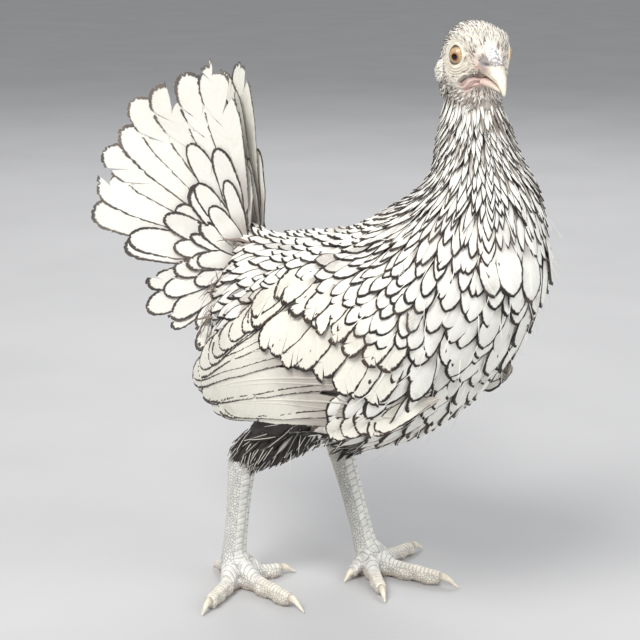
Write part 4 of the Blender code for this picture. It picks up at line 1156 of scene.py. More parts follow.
# root, tip, length, width and lift of the tip
LARGE_FEATHERS = (
    ((104.3, -16, 193), (108.4, -15.6, 168), 28, 13.5, 2.3),
    ((101, -23, 190), (104.2, -23.5, 168), 24.5, 11.0, 2.0),
    ((109.4, -4, 189), (111, -2, 163), 28, 12.5, 2.2),
    ((106, -20, 184), (104, -21, 161), 24, 10.0, 1.5),
    ((108, -12, 182), (108.2, -9.6, 157), 26, 11.5, 1.7),
    ((108, -9, 176), (106, -7, 151), 26, 11.0, 1.3),
    ((110, 3, 180), (108.4, 4, 155), 26, 11.5, 1.6),
    ((110.6, 0.3, 163), (101.6, 1, 140), 26, 11.5, 1.8),
    ((106, -8, 152), (92, -4.3, 126), 30, 12.0, 1.9),
    ((98, -20, 149), (86, -25, 130), 26, 11.5, 1.8),
    ((104, -17, 164), (98, -19, 143), 24, 11.0, 1.6),
    ((84, -34, 140), (72, -36, 122), 25, 11.0, 1.6),
)


def both_sides(rows):
    """Places on the right, and then their mirror images."""
    return np.concatenate([rows, rows * (1, -1, 1)])


roots, tips = (both_sides(np.array([row[k] for row in LARGE_FEATHERS], float)) for k in (0, 1))
size = np.array([(long, wide, 0.05, 1.1, 0.0, lift) for _, _, long, wide, lift in LARGE_FEATHERS])
mirrored = np.arange(len(roots)) >= len(LARGE_FEATHERS)
kept = ~(mirrored & (np.abs(roots[:, 1]) < 5))
line = both_sides(spline(PARTING, np.linspace(0, len(PARTING) - 1, PARTING_FEATHERS)))
line_lie = np.repeat(((0.3, -0.3, -1), (0.3, 0.3, -1)), PARTING_FEATHERS, axis=0)
line_size = on_body(body_surface.snap(line)[0])[:, 5:] * (1, 1.4, 1, 1, 0, 1) + (0, 0, 0, 0, 0, 0.5)
lie = np.concatenate([(tips - roots)[kept], line_lie])
size = np.concatenate([np.tile(size, (2, 1))[kept], line_size])
spots, ups = body_surface.snap(np.concatenate([roots[kept], line]))
large = lay_vanes(
    "large_breast_feathers", body_surface, spots, ups, lie, size, BODY_PLAN,
    np.full(len(spots), 0.9), tube_unwrap(spots),
)
finish_piece(dress(large, laced), "laced_feather")

# %% [markdown]
# A quill feather of wing or tail is large enough to show how it is made: a shaft, and on each side groups
# of barbs that hook together to a web. Here each side is a few strips of slanted barb lines, so the web can
# part where the real one has split, and its rim is a little uneven. Each strip is a closed thin sheet.
# %% Quill feathers
WEB_THICK = 0.22
WEB_SLANT = 1.35  # how far the lines of barbs run on for each step out from the shaft
WEB_COLUMNS = np.array((0, 0.25, 0.5, 0.72, 0.88, 0.955, 1.0))


class Pile:
    """Closed solids gathered for one mesh, with what the vane's pattern and the colour bake need."""

    def __init__(self):
        self.points, self.quads, self.vane, self.look, self.extent, self.patch = [], [], [], [], [], []
        self.count = 0

    def add(self, points, quads, vane, look, extent, patch):
        """Adds a solid. vane and patch have a row for each of its points, look and extent one for all."""
        size = len(points)
        self.points.append(points)
        self.quads += [q + self.count for q in quads]
        self.vane.append(vane)
        self.look.append(np.tile(look, (size, 1)))
        self.extent.append(np.tile(extent, (size, 1)))
        self.patch.append(patch)
        self.count += size

    def sheet(self, outer, inner, flat, rim, look, extent, patch):
        """Adds a thin closed sheet between two grids of points. flat is across and along for each point."""
        rows, columns = outer.shape[:2]
        size = rows * columns
        grid = np.arange(size).reshape(rows, columns)
        cells = grid_cells(grid)
        border = np.concatenate([grid[0, :], grid[1:, -1], grid[-1, -2::-1], grid[-2:0:-1, 0]])
        walls = stacked(np.roll(border, -1), border, border + size, np.roll(border, -1) + size)
        both = np.concatenate([outer.reshape(-1, 3), inner.reshape(-1, 3)])
        vane = np.concatenate([flat.reshape(-1, 2), rim.reshape(-1, 1)], axis=1)
        solid = (cells, cells[:, [0, 3, 2, 1]] + size, walls)
        self.add(both, solid, np.tile(vane, (2, 1)), look, extent, np.tile(patch.reshape(-1, 2), (2, 1)))

    def tube(self, rings, along, look, extent, patch):
        """Adds a closed slim tube of six sides, such as a shaft."""
        rows, sides = rings.shape[:2]
        index = np.arange(rows * sides).reshape(rows, sides)
        halves = np.array(((0, 3, 2, 1), (0, 5, 4, 3)))
        far = np.repeat(along, sides)
        vane = stacked(far * 0, far, far * 0 + 9)
        solid = (tube_walls(index), index[0][halves], index[-1][::-1][halves])
        self.add(rings.reshape(-1, 3), solid, vane, look, extent, np.tile(patch, (rows * sides, 1)))

    def bake(self, name):
        made = mesh_object(name, np.concatenate(self.points), [np.concatenate(self.quads)])
        face_outwards(made)
        paint_attributes(made, *(np.concatenate(v) for v in (self.vane, self.look, self.extent, self.patch)))
        return made


def rounded(rise, tip):
    """A quill's outline: how fast it widens, and the share of its length that its round tip takes."""

    def shape(t):
        far = np.clip((t - (1 - tip)) / tip, 0, 1)
        return np.minimum(1, 0.34 + rise * t) * np.sqrt(np.clip(1 - far**2.3, 0, 1))

    return shape


broad, fan = rounded(1.5, 0.26), rounded(1.05, 0.2)


# %% [markdown]
# One quill is made of strips. Where the web has split, one strip ends and the next begins, and the barbs
# beside the break are pulled apart. The shaft is a slim tube that thins towards the tip.
# %% One quill
def quill(pile, lay, length, width, shape, heights, tilt, look, patch, pitch=1.7, splits=(), fray=0.03):
    """Adds one quill feather. lay(s, w, h) puts a place s along, w across and h over its sheet in space.

    splits holds, for each break in the web, its side, its share of the way along and how far it gapes.
    """
    extent = np.array((0.0, length, width))
    lines = max(8, int(length / pitch))
    starts = length * (np.linspace(0, 1, lines) ** 0.92) * 0.985
    reach = np.linspace(0, 1, 120)[None] * width * 0.55
    t_rim = np.linspace(0, 1, 90)
    rim_points = stacked(shape(t_rim) * width / 2, t_rim * length)
    low, high = heights
    wave = DRAW.normal(0, 0.05, lines)
    for side in (-1, 1):
        reached = starts[:, None] + WEB_SLANT * reach
        room = shape(np.clip(reached / length, 0, 1)) * width / 2 - reach
        room[reached > length] = -1
        ends = reach[0][np.argmax(room < 0, axis=1)] * (1 - np.abs(DRAW.normal(0, fray, lines)))
        across = side * ends[:, None] * WEB_COLUMNS
        along = starts[:, None] + WEB_SLANT * np.abs(across)
        gap = np.abs(across)[..., None] - rim_points[:, 0]
        away = np.sqrt((gap**2 + (along[..., None] - rim_points[:, 1]) ** 2).min(axis=-1))
        away[:, -1] = 0
        own = [(share, gape) for which, share, gape in splits if which == side]
        breaks = sorted((max(2, min(lines - 3, int(share * lines))), gape) for share, gape in own)
        edges = [0, *[k for k, _ in breaks], lines - 1]
        for start, end in zip(edges[:-1], edges[1:]):
            if end - start < 1:
                continue
            part = slice(start, end + 1)
            index = np.arange(start, end + 1)
            pull = np.zeros(len(index))
            for k, gape in breaks:
                if k == start:
                    pull += gape * np.exp(-(index - k) / 5)
                if k == end:
                    pull -= gape * np.exp(-(k - index) / 5)
            far = along[part] + pull[:, None] * WEB_COLUMNS ** 1.5
            out = across[part] - side * np.abs(pull)[:, None] * 0.25 * WEB_COLUMNS ** 2
            t = np.clip(far / length, 0, 1.02)
            rise = low + (high - low) * t + tilt * out - 0.012 * out**2 / max(width, 1) * 4
            rise = rise + wave[part][:, None] * WEB_COLUMNS
            thick = WEB_THICK * (1 - 0.75 * WEB_COLUMNS**3) + 0 * rise
            outer = lay(far, out, rise)
            inner = lay(far, out, rise - thick)
            flat = stacked(out, far)
            spot = patch[0] + stacked(out / width, far / length) * patch[1]
            pile.sheet(outer, inner, flat, away[part], look, extent, spot)
    t = np.linspace(0, 0.96, 16)
    radius = 0.012 * length**0.5 * 6 * (1 - 0.85 * t) * min(1.0, width / 12)
    turn = turn_steps(6)
    level = (low + (high - low) * t)[:, None]
    rings = lay(
        (t * length)[:, None] + 0 * turn,
        radius[:, None] * np.cos(turn),
        level - WEB_THICK / 2 + radius[:, None] * 0.8 * np.sin(turn),
    )
    pile.tube(rings, t * length, look, extent, patch[0])


def random_splits(count, gape, draw, low=0.35, high=0.92):
    """Breaks at random places of the web, of a size near gape in mm."""
    return [
        (draw.choice((-1, 1)), draw.uniform(low, high), abs(draw.normal(0, gape))) for _ in range(count)
    ]


def bake_places(columns, rows):
    """Places on the colour bake's map, one after another in rows, so none lies on another."""
    size = np.array((0.8 / columns, 0.85 / rows))
    for row in range(rows):
        for column in range(columns):
            yield np.array(((column + 0.5) / columns, (row + 0.06) / rows)), size


# %% [markdown]
# The folded wing shows its long feathers in tiers, each tier over the roots of the next: primaries at the
# bottom and rear, secondaries over them, then the great and the median coverts. A few plumes of the flank
# come up over the wing's lower edge in front. Each feather's lower edge lies over the next one down, and
# the tips follow a curve through a few places of the side view.
# %% Wing feathers
# Rows from the lowest feather up: the tip's x and z, degrees it points below level, length and width. Then
# the count, the heights at root and tip, the step to the next feather, and the lace.
WING_TIERS = {
    "primary": (
        ((-52, 86, 12, 98, 13.5), (-66, 89, 12, 108, 13), (-71, 95, 13, 112, 12.5)), 5, (-0.4, 0.1), 0.5, 0.6,
    ),
    "secondary": (
        (
            (-39, 92, 14, 92, 16), (-58, 91, 16, 108, 15), (-72, 96, 20, 112, 14), (-60, 107, 26, 92, 13),
            (-42, 118, 31, 70, 13), (-26, 130, 35, 54, 13), (-10, 143, 38, 38, 12),
        ),
        14, (-0.2, 1.1), 0.62, 0.8,
    ),
    "great covert": (
        ((60, 115, 58, 27, 12), (46, 121, 55, 29, 13), (31, 126, 50, 31, 13.5), (14, 131, 44, 32, 13.5),
         (-2, 136, 39, 32, 12.5), (-9, 149, 35, 26, 11)),
        10, (-0.2, 2.0), 0.7, 0.95,
    ),
    "flank plume": (
        ((40, 96, 28, 36, 11), (50, 99, 31, 34, 10), (59, 103, 36, 28, 9)), 5, (-3.2, 2.0), 0.5, 0.6,
    ),
    "median covert": (
        ((67, 131, 58, 21, 10), (53, 138, 54, 23, 10.5), (36, 146, 48, 23, 10.5), (20, 152, 43, 22, 10),
         (6, 158, 40, 21, 10)),
        9, (-0.2, 2.6), 0.7, 1.05,
    ),
}


def wing_quill(pile, side, root, tip, width, heights, tilt, look, patch, **more):
    """A feather of the folded wing, from root to tip in the side view, sagging a little between them."""
    length = np.linalg.norm(tip - root)
    ahead = (tip - root) / length
    down = np.array((-ahead[1], ahead[0]))
    sag = 0.05 * length

    def lay(s, w, h):
        s, w, h = np.broadcast_arrays(s, w, h)
        bow = sag * 4 * (s / length) * (1 - s / length)
        x = root[0] + ahead[0] * s + down[0] * (w - bow)
        z = root[1] + ahead[1] * s + down[1] * (w - bow)
        return stacked(x, side * (sheet_at(x, z) + h), z)

    quill(pile, lay, length, width, broad, heights, tilt, look, patch, **more)


class SheetGrid:
    """The wing's outer face on a grid of the side view, read between its points."""

    REAR, LOW, STEP = -100, 70, 2.0

    def __init__(self):
        self.x, self.z = np.arange(self.REAR, 112, self.STEP), np.arange(self.LOW, 200, self.STEP)
        x, z = np.meshgrid(self.x, self.z, indexing="ij")
        self.y = wing_sheet(x, z) + wing_thickness(x, z)

    def __call__(self, x, z):
        a = np.clip((x - self.REAR) / self.STEP, 0, len(self.x) - 1.001)
        b = np.clip((z - self.LOW) / self.STEP, 0, len(self.z) - 1.001)
        i, j = a.astype(int), b.astype(int)
        s, t = a - i, b - j
        low = self.y[i, j] * (1 - s) + self.y[i + 1, j] * s
        high = self.y[i, j + 1] * (1 - s) + self.y[i + 1, j + 1] * s
        return low * (1 - t) + high * t


sheet_at = SheetGrid()
flight = feather_material("flight feather", (0.945, 0.92, 0.815), (0.030, 0.025, 0.022), 1.9, 0.35)


def make_wing(side):
    draw = np.random.default_rng(WING_SEED + side)
    pile, patches = Pile(), bake_places(8, 6)
    for rows, count, heights, step, lace in WING_TIERS.values():
        placed = spline(rows, np.linspace(0, len(rows) - 1, count))
        placed = placed + draw.normal(0, 1, (count, 5)) * (1.2, 1.2, 2.0, 1, 0.6)
        pitch = np.linalg.norm(np.diff(placed[:, :2], axis=0), axis=1).mean()
        for x, z, slope, length, width in placed:
            slope = math.radians(slope)
            root = np.array((x + length * math.cos(slope), z + length * math.sin(slope)))
            look = np.array((lace * draw.uniform(0.8, 1.25), 0.0, draw.random()))
            splits = random_splits(draw.integers(1, 4), 0.9, draw)
            wing_quill(
                pile, side, root, np.array((x, z)), width, heights, step / pitch, look,
                next(patches), splits=splits, fray=0.014,
            )
    made = dress(pile.bake(f"wing_feathers_{SIDE_NAMES[side]}"), flight)
    finish_piece(made, "white_feather", f"wing_{SIDE_NAMES[side]}")


for side in BOTH:
    make_wing(side)

# %% [markdown]
# The tail is fanned in two halves that meet above. Each half has eight broad feathers with a thin grey-
# black edge, most of them split, four narrow ones inside the fan, and three tiers of rounded, laced
# coverts.
# %% Tail feathers
TAIL_FEATHERS, TAIL_LENGTH, TAIL_WIDTH = 8, 99, 18.5
# highest and lowest heading in degrees, count, reach from the tail's root, width, start, height at the tip
TAIL_COVERTS = {
    "long covert": (72, -78, 11, 59, 13.0, 14, 1.9),
    "short covert": (66, -86, 11, 45, 11.5, 6, 2.7),
    "least covert": (60, -88, 9, 31, 9.5, 0, 3.4),
}
# narrow feathers inside the fan: heading, end, width and height at the tip
TAIL_INNER = ((77, 84, 8, -3.2), (70, 70, 9, -4.2), (74, 56, 7, -5.0), (82, 50, 6, -4.0))
tail_white = feather_material("tail feather", (0.945, 0.925, 0.85), (0.085, 0.082, 0.078), 0.9, 0.15)
covert_paint = feather_material(
    "tail covert", (0.945, 0.925, 0.86), (0.04, 0.037, 0.035), 0.9, 0.2, down=(0.25, 0.6)
)


def tail_quill(pile, side, heading, start, end, width, shape, heights, tilt, look, patch, bend=0.0, **more):
    """A feather of the tail's fan, from start to end as measured from the tail's root."""
    a = math.radians(heading)
    length = end - start

    def lay(s, w, h):
        s, w, h = np.broadcast_arrays(s, w, h)
        w = w + bend * (s / length) ** 2
        x = TAIL_ROOT[0] - math.cos(a) * (start + s) - math.sin(a) * w
        z = TAIL_ROOT[1] + math.sin(a) * (start + s) - math.cos(a) * w
        return stacked(x, side * (tail_sheet(x, z) + tail_thickness(start + s) + h), z)

    quill(pile, lay, length, width, shape, heights, tilt, look, patch, **more)


def make_tail(side):
    draw = np.random.default_rng(TAIL_SEED + side)
    main, cover, patches, cover_patches = Pile(), Pile(), bake_places(4, 3), bake_places(8, 4)
    for k in range(TAIL_FEATHERS):
        share = k / (TAIL_FEATHERS - 1)
        heading = TAIL_STEEPEST + (TAIL_FLATTEST - TAIL_STEEPEST) * share + draw.normal(0, 0.8)
        end = TAIL_LENGTH - 15 * max(0, (share - 0.3) / 0.7) ** 1.3 + draw.normal(0, 2.6)
        look = np.array((1.35 * draw.uniform(0.8, 1.2), 0.0, draw.random()))
        splits = random_splits(draw.integers(3, 6), 3.0, draw, 0.45, 0.93)
        tail_quill(
            main, side, heading, 22, end, TAIL_WIDTH * draw.uniform(0.96, 1.05), fan, (-0.2, 0.15), 0.055,
            look, next(patches), 3.0, pitch=1.2, splits=splits, fray=0.05,
        )
    for heading, end, width, top in TAIL_INNER:
        look = np.array((0.7, 0.0, draw.random()))
        splits = random_splits(3, 1.5, draw)
        tail_quill(
            main, side, heading, 16, end, width, broad, (-1.5, top), 0.0, look, next(patches), splits=splits
        )
    for high, low, count, reach, width, start, top in TAIL_COVERTS.values():
        for k in range(count):
            heading = high + (low - high) * k / (count - 1) + draw.normal(0, 5.0)
            end = reach * (1 - 0.12 * k / (count - 1)) * draw.uniform(0.78, 1.12)
            look = np.array((1.15 * draw.uniform(0.75, 1.25), 0.0, draw.random()))
            tail_quill(
                cover, side, heading, start, end, width * draw.uniform(0.68, 1.1), broad, (-0.2, top), 0.06,
                look, next(cover_patches), pitch=1.5, fray=0.035,
                splits=random_splits(draw.integers(0, 3), 0.8, draw),
            )
    name = SIDE_NAMES[side]
    finish_piece(dress(main.bake(f"tail_feathers_{name}"), tail_white), "white_feather", f"tail_{name}")
    finish_piece(dress(cover.bake(f"tail_coverts_{name}"), covert_paint), "white_feather")


for side in BOTH:
    make_tail(side)

# %% [markdown]
# Bare parts, such as the face, the legs and the bill, get their colours at the points of the mesh, by where
# each lies, and one kind of material adds grain and pores to them.
# %% Bare skin and horn
def paint(obj, colours):
    """Gives each point of a mesh its colour, and shades it smooth."""
    layer = obj.data.attributes.new("tint", "FLOAT_COLOR", "POINT")
    rgba = np.concatenate([np.clip(colours, 0, 1), np.ones((len(colours), 1))], axis=1)
    layer.data.foreach_set("color", rgba.astype(np.float32).ravel())
    obj.data.shade_smooth()
    return obj


def blend(first, second, share):
    """Colours between two, by a share for each point."""
    first, second = np.asarray(first, float), np.asarray(second, float)
    return first + (second - first) * share[..., None]


def layered(colours, *layers):
    """Lays more colours over the first, each by its share at each point."""
    for colour, share in layers:
        colours = blend(colours, colour, share)
    return colours


def mottled_tint(w, place, grain, brightest):
    """The colour painted at the points, a little mottled, and the mottling itself."""
    tint = w.add("ShaderNodeAttribute", attribute_name="tint").outputs["Color"]
    mottle = w.range(w.noise(place, grain, 4.0, 0.65), 0.3, 0.7, 0.80, brightest)
    return w.mix(1.0, tint, w.grey(mottle), "MULTIPLY"), mottle


def bare_material(name, roughness, grain, pore, relief, **constants):
    """grain is the scale of the mottling, pore that of the pores, and relief their depth in metres."""
    made, w, shader = new_material(name, roughness, **constants)
    place = w.object_place()
    tint, mottle = mottled_tint(w, place, grain, 1.08)
    cells = w.add("ShaderNodeTexVoronoi", {"Vector": place, "Scale": pore}).outputs["Distance"]
    height = w.plus(w.times(cells, 0.8), w.noise(place, pore * 2.2, 2.0))
    gloss = w.range(mottle, 0.8, 1.08, roughness + 0.1, roughness - 0.05)
    wire_up(w, shader, tint, height, relief, 0.6, gloss)
    return made


def mound(points, centre, radii, height):
    """A soft rise round a centre, in the points' own frame."""
    return height * np.exp(-(((points - np.array(centre)) / np.array(radii)) ** 2).sum(axis=-1))


def line_distance(points, line):
    """How far points of a plane are from a bent line, and how far along it the nearest place is."""
    best, along, passed = np.full(len(points), 1e9), np.zeros(len(points)), 0.0
    for start, end in zip(line[:-1], line[1:]):
        start, way = np.array(start, float), np.array(end, float) - np.array(start, float)
        length = np.linalg.norm(way)
        t = np.clip((points - start) @ way / length**2, 0, 1)
        away = np.linalg.norm(points - start - t[:, None] * way, axis=1)
        nearer = away < best
        best, along = np.where(nearer, away, best), np.where(nearer, passed + t * length, along)
        passed += length
    return best, along


def ball(name, place, radii, turn, sides=48, rows=32):
    a = np.linspace(0.02, math.pi - 0.02, rows)[:, None]
    b = turn_steps(sides)
    shape = stacked(np.sin(a) * np.cos(b), np.sin(a) * np.sin(b), np.cos(a) + 0 * b)
    return loft(name, np.asarray(place) + (shape * np.asarray(radii)) @ np.asarray(turn).T)


# %% [markdown]
# The head gets the finest mesh. Skull, lids, the folds below the mouth and the small wattles are kneaded to
# one form, and then moved along its own normals for what is finer: brow, hollow lore, line of the mouth and
# the rings of folds round each eye. Those are formulas of a point's place in the head's frame or the eye's.
# %% Head form
EYE_PLACE, EYE_RADIUS, EYE_SUNK = (5.0, 12.6, 3.0), 5.2, 3.2
LID_UP, LID_ACROSS, LID_HEIGHT, LID_LEAN = 4.6, 4.0, 2.85, -0.05
BILL_BASE = 13.0
MOUTH_LINE = ((14.5, -4.5), (12.2, -4.4), (10.4, -5.4), (8.4, -8.0))
LOBE_PLACE = (-7.6, 11.9, -7.0)


def eye_turn(side):
    """Turns +Z to where the eye looks: sideways, a little forward and up. X is then up along the head."""
    out = Vector((0.26, side, 0.06)).normalized()
    return HEAD_TURN @ np.array(out.to_track_quat("Z", "X").to_matrix())


def eye_centre(side):
    return in_head((EYE_PLACE[0], EYE_PLACE[1] * side, EYE_PLACE[2])) - eye_turn(side)[:, 2] * EYE_SUNK


def to_eye(points, side):
    return (points - eye_centre(side)) @ eye_turn(side)


def lid_shape(points, side):
    """How far out from the opening's middle a point is, where 1 is the middle of the rim, and its angle."""
    near = to_eye(points, side)
    lean = LID_LEAN * side
    up = near[:, 0] * math.cos(lean) + near[:, 1] * math.sin(lean)
    across = near[:, 1] * math.cos(lean) - near[:, 0] * math.sin(lean)
    angle = np.arctan2(across, up)
    return np.hypot(up / LID_UP, across / (LID_ACROSS * (1 - 0.13 * np.cos(angle)))), angle, near[:, 2]


def lid(side):
    """The rim of the two lids: a slim ring that lies on the eyeball."""
    a, b = np.meshgrid(turn_steps(96), turn_steps(14), indexing="ij")
    lean = LID_LEAN * side
    outward = stacked(np.cos(a + lean), np.sin(a + lean), 0 * a)
    up, across = LID_UP * np.cos(a), LID_ACROSS * (1 - 0.13 * np.cos(a)) * np.sin(a)
    middle = stacked(
        up * math.cos(lean) - across * math.sin(lean),
        up * math.sin(lean) + across * math.cos(lean),
        LID_HEIGHT + 0 * a,
    )
    ring = middle + outward * 0.8 * np.cos(b)[..., None] + np.array((0, 0, 0.8)) * np.sin(b)[..., None]
    index = np.arange(a.size).reshape(a.shape)
    faces = tube_walls(np.concatenate([index, index[:1]]))
    points = eye_centre(side) + ring.reshape(-1, 3) @ eye_turn(side).T
    return face_outwards(mesh_object(f"lid {side}", points, [faces]))


def rod(name, start, end, radius_start, radius_end):
    """A closed round rod of the head's frame with domed ends."""
    start, end = np.array(start, float), np.array(end, float)
    t = np.linspace(0, 1, 12)
    dome = np.sqrt(np.clip(1 - (2 * t - 1) ** 6, 0.03, 1))
    radii = (radius_start + (radius_end - radius_start) * t) * dome
    return loft(name, in_head(straight_rings(start, end, radii, 16)))


# %% [markdown]
# The finer forms of the face are moved along the normals. Lines of fold and lid are cosines of the distance
# from the mouth or from the eye's opening.
# %% Relief of the face
def below_mouth(near):
    """Under the line of the mouth, for points of the head's frame."""
    line = np.array(MOUTH_LINE[::-1])
    return near[:, 2] < np.interp(near[:, 0], line[:, 0], line[:, 1])


def face_relief(points):
    """How far the face stands out over the kneaded form, in mm."""
    near = folded_head(points)
    relief = mound(near, (5.0, 10.0, 10.4), (6.5, 3.2, 2.4), 1.3)
    relief -= mound(near, (10.8, 9.6, 0.5), (2.2, 3.0, 3.2), 0.9)
    relief += mound(near, (0.5, 12.5, -8.5), (4.5, 4.0, 3.0), 0.5)
    relief -= mound(near, (9.0, 0.0, 13.0), (4.0, 1.6, 3.0), 0.3)
    away, _ = line_distance(near[:, [0, 2]], MOUTH_LINE)
    on_side = smooth_step(2.5, 4.0, near[:, 1])
    relief -= 0.95 * np.exp(-((away / 0.5) ** 2)) * on_side
    relief += 0.30 * np.exp(-(((away - 1.15) / 0.5) ** 2)) * on_side
    folds = smooth_step(0.5, 2.0, away) * smooth_step(6.0, 1.5, away) * below_mouth(near)
    folds = folds * smooth_step(6, 9, near[:, 0])
    relief += 0.38 * np.cos(TAU * away / 1.9 + 0.6 * near[:, 0]) * folds * on_side
    for side in BOTH:
        out, angle, height = lid_shape(points, side)
        low = 0.35 + 0.65 * smooth_step(-0.2, 0.7, -np.cos(angle))
        reach = (out - 1) * LID_UP
        rings = np.cos(TAU * (reach - 0.75) / (1.15 + 0.06 * np.sin(3 * angle)))
        window = smooth_step(0.3, 0.9, reach) * smooth_step(6.0, 2.2, reach) * (height > -1)
        relief += (0.21 * rings - 0.15) * window * low
        notches = 0.05 * np.cos(angle * 34 + 2 * np.sin(5 * angle))
        relief += notches * smooth_step(0.6, 0.2, np.abs(reach)) * (height > 0)
    return relief


def neck_stump(name):
    """The top of the neck, which tapers away below inside the feathers."""
    u, a = np.linspace(11, 13, 24)[:, None], turn_steps(64)
    return loft(name, body_point(u, a, -0.7 - 3.0 * smooth_step(11.6, 11.0, u)))


head_parts = [skull("head form", 0.0, 120, 14), neck_stump("neck stump"), lid(RIGHT), lid(LEFT)]
for side in BOTH:
    head_parts.append(rod("lip", (8.2, side * 8.4, -9.4), (13.0, side * 4.2, -7.4), 1.1, 0.9))
    head_parts.append(rod("lower fold", (8.0, side * 7.2, -11.8), (12.2, side * 3.2, -9.8), 1.3, 1.0))
    head_parts.append(ball("wattle", in_head((9.6, 3.6 * side, -12.2)), (2.6, 1.3, 2.4), HEAD_TURN, 24, 16))
    head_parts.append(ball("jowl", in_head((-7.5, 6.8 * side, -12.5)), (5.2, 4.6, 6.8), HEAD_TURN, 24, 16))
head_form = knead("head form", head_parts, 0.34, 3)
push_out(head_form, face_relief(bird_points(head_form)))
head_surface = Surface(head_form)
print("head form faces:", len(head_form.data.polygons))

# %% [markdown]
# The skin of the body and the head are joined to one closed mesh, and a ball cut from it on each side makes
# the eye sockets. It stands for the flesh of torso, neck, head and thighs.
# %% One skin
LID_CREAM, FACE_PINK, LORE_PALE = (0.88, 0.82, 0.69), (0.76, 0.52, 0.45), (0.87, 0.80, 0.69)
NOSTRIL_GREY, FLESH = (0.30, 0.265, 0.26), (0.70, 0.45, 0.40)
# The first colour on the next line is painted shade, laid in the groove along the mouth.
MOUTH_GROOVE_SHADE, THROAT_GREY = (0.07, 0.045, 0.04), (0.36, 0.31, 0.28)
DOWN_GREY, DOWN_DARK = (0.30, 0.27, 0.25), (0.06, 0.05, 0.045)
# The first colour on the next line is painted shade, for the valleys between the folds round each eye.
FOLD_VALLEY_SHADE, RIM_BROWN, BRISTLE_DARK = (0.27, 0.20, 0.165), (0.13, 0.09, 0.065), (0.10, 0.075, 0.065)


def lid_colours(colours, points, side):
    """The cream lids, painted shade in the valleys between the rings of folds, and the lids' dark rims."""
    out, angle, height = lid_shape(points, side)
    reach = (out - 1) * LID_UP
    facing = height > -1.5
    low = smooth_step(-0.3, 0.6, -np.cos(angle))
    valley_shade = 0.5 - 0.5 * np.cos(TAU * (reach - 0.75) / (1.15 + 0.06 * np.sin(3 * angle)))
    window = smooth_step(0.3, 0.9, reach) * smooth_step(6.0, 2.5, reach) * facing * (0.55 + 0.45 * low)
    rim_dark = smooth_step(-0.30 + 0.35 * (1 - low), -0.62 + 0.35 * (1 - low), reach)
    return layered(
        colours,
        (LID_CREAM, smooth_step(2.2, 0.9, reach - 3.0 * low) * facing * 0.9),
        # Painted shade in the valleys between the rings of folds.
        (FOLD_VALLEY_SHADE, valley_shade**2 * window * 0.85),
        (RIM_BROWN, rim_dark * facing * (height > 1.2)),
    )


def skin_colours(points):
    """Grey and dark down under the coat, the colours of the bare face, and painted shade in the mouth's
    groove and in the folds below it.
    """
    near = folded_head(points)
    x, y, z = near.T
    above = points[:, 2] > 240
    on_head = smooth_step(-17, -12, z + 0.2 * x) * above
    away, _ = line_distance(near[:, [0, 2]], MOUTH_LINE)
    # The folds below the mouth: the pink is their own colour, and it darkens in the valleys between them as
    # painted shade.
    fold = 0.5 - 0.5 * np.cos(TAU * away / 1.9 + 0.6 * x)
    lip_pink_and_fold_shade = blend((0.80, 0.58, 0.53), (0.55, 0.33, 0.30), fold**2)
    lips = smooth_step(7.0, 9.2, x) * above * below_mouth(near) * smooth_step(5.0, 3.8, away) * 0.9
    ragged = smooth_step(-0.3, 0.3, noise_at(near, 1.7))
    bristly_lip = mound(near, (12.6, 6.4, -3.3), (2.8, 3.2, 1.3), 1.3) * ragged
    colours = layered(
        blend(DOWN_GREY, DOWN_DARK, smooth_step(0.25, 0.6, on_body(points)[:, 7])),
        (LORE_PALE, on_head),
        (THROAT_GREY, on_head * smooth_step(-8, -14, z + 0.25 * x)),
        (FACE_PINK, mound(near, (11.0, 8.5, 2.5), (2.4, 4.0, 3.2), 0.6)),
        (NOSTRIL_GREY, np.clip(mound(near, (13.4, 5.2, 3.6), (1.2, 1.6, 2.0), 1.3), 0, 0.9)),
        (FLESH, np.clip(mound(near, (13.2, 6.0, -0.4), (1.4, 2.4, 1.9), 0.9), 0, 0.8)),
        (lip_pink_and_fold_shade, lips),
        (BRISTLE_DARK, np.clip(bristly_lip, 0, 0.9)),
        # Painted shade: a dark line in the groove along the mouth.
        (MOUTH_GROOVE_SHADE, np.exp(-((away / 0.75) ** 2)) * smooth_step(2.5, 4.0, y) * (x > 3)),
    )
    for side in BOTH:
        colours = lid_colours(colours, points, side)
    return colours


skin = clay("skin", (-2.9, -1.3), -2.4, -2.4, 0.62, False, 3.0, 1.55, 3)
join_solid(skin, head_form)
for side in BOTH:
    socket = ball("socket", eye_centre(side), (EYE_RADIUS + 0.05,) * 3, eye_turn(side))
    join_solid(skin, socket, "DIFFERENCE")
face_paint = bare_material("bare skin", 0.5, 420, 1900, 0.00010)
dress(paint(skin, skin_colours(bird_points(skin))), face_paint)
finish_piece(skin, "face_skin", "torso", "neck", "head", "thigh_right", "thigh_left")

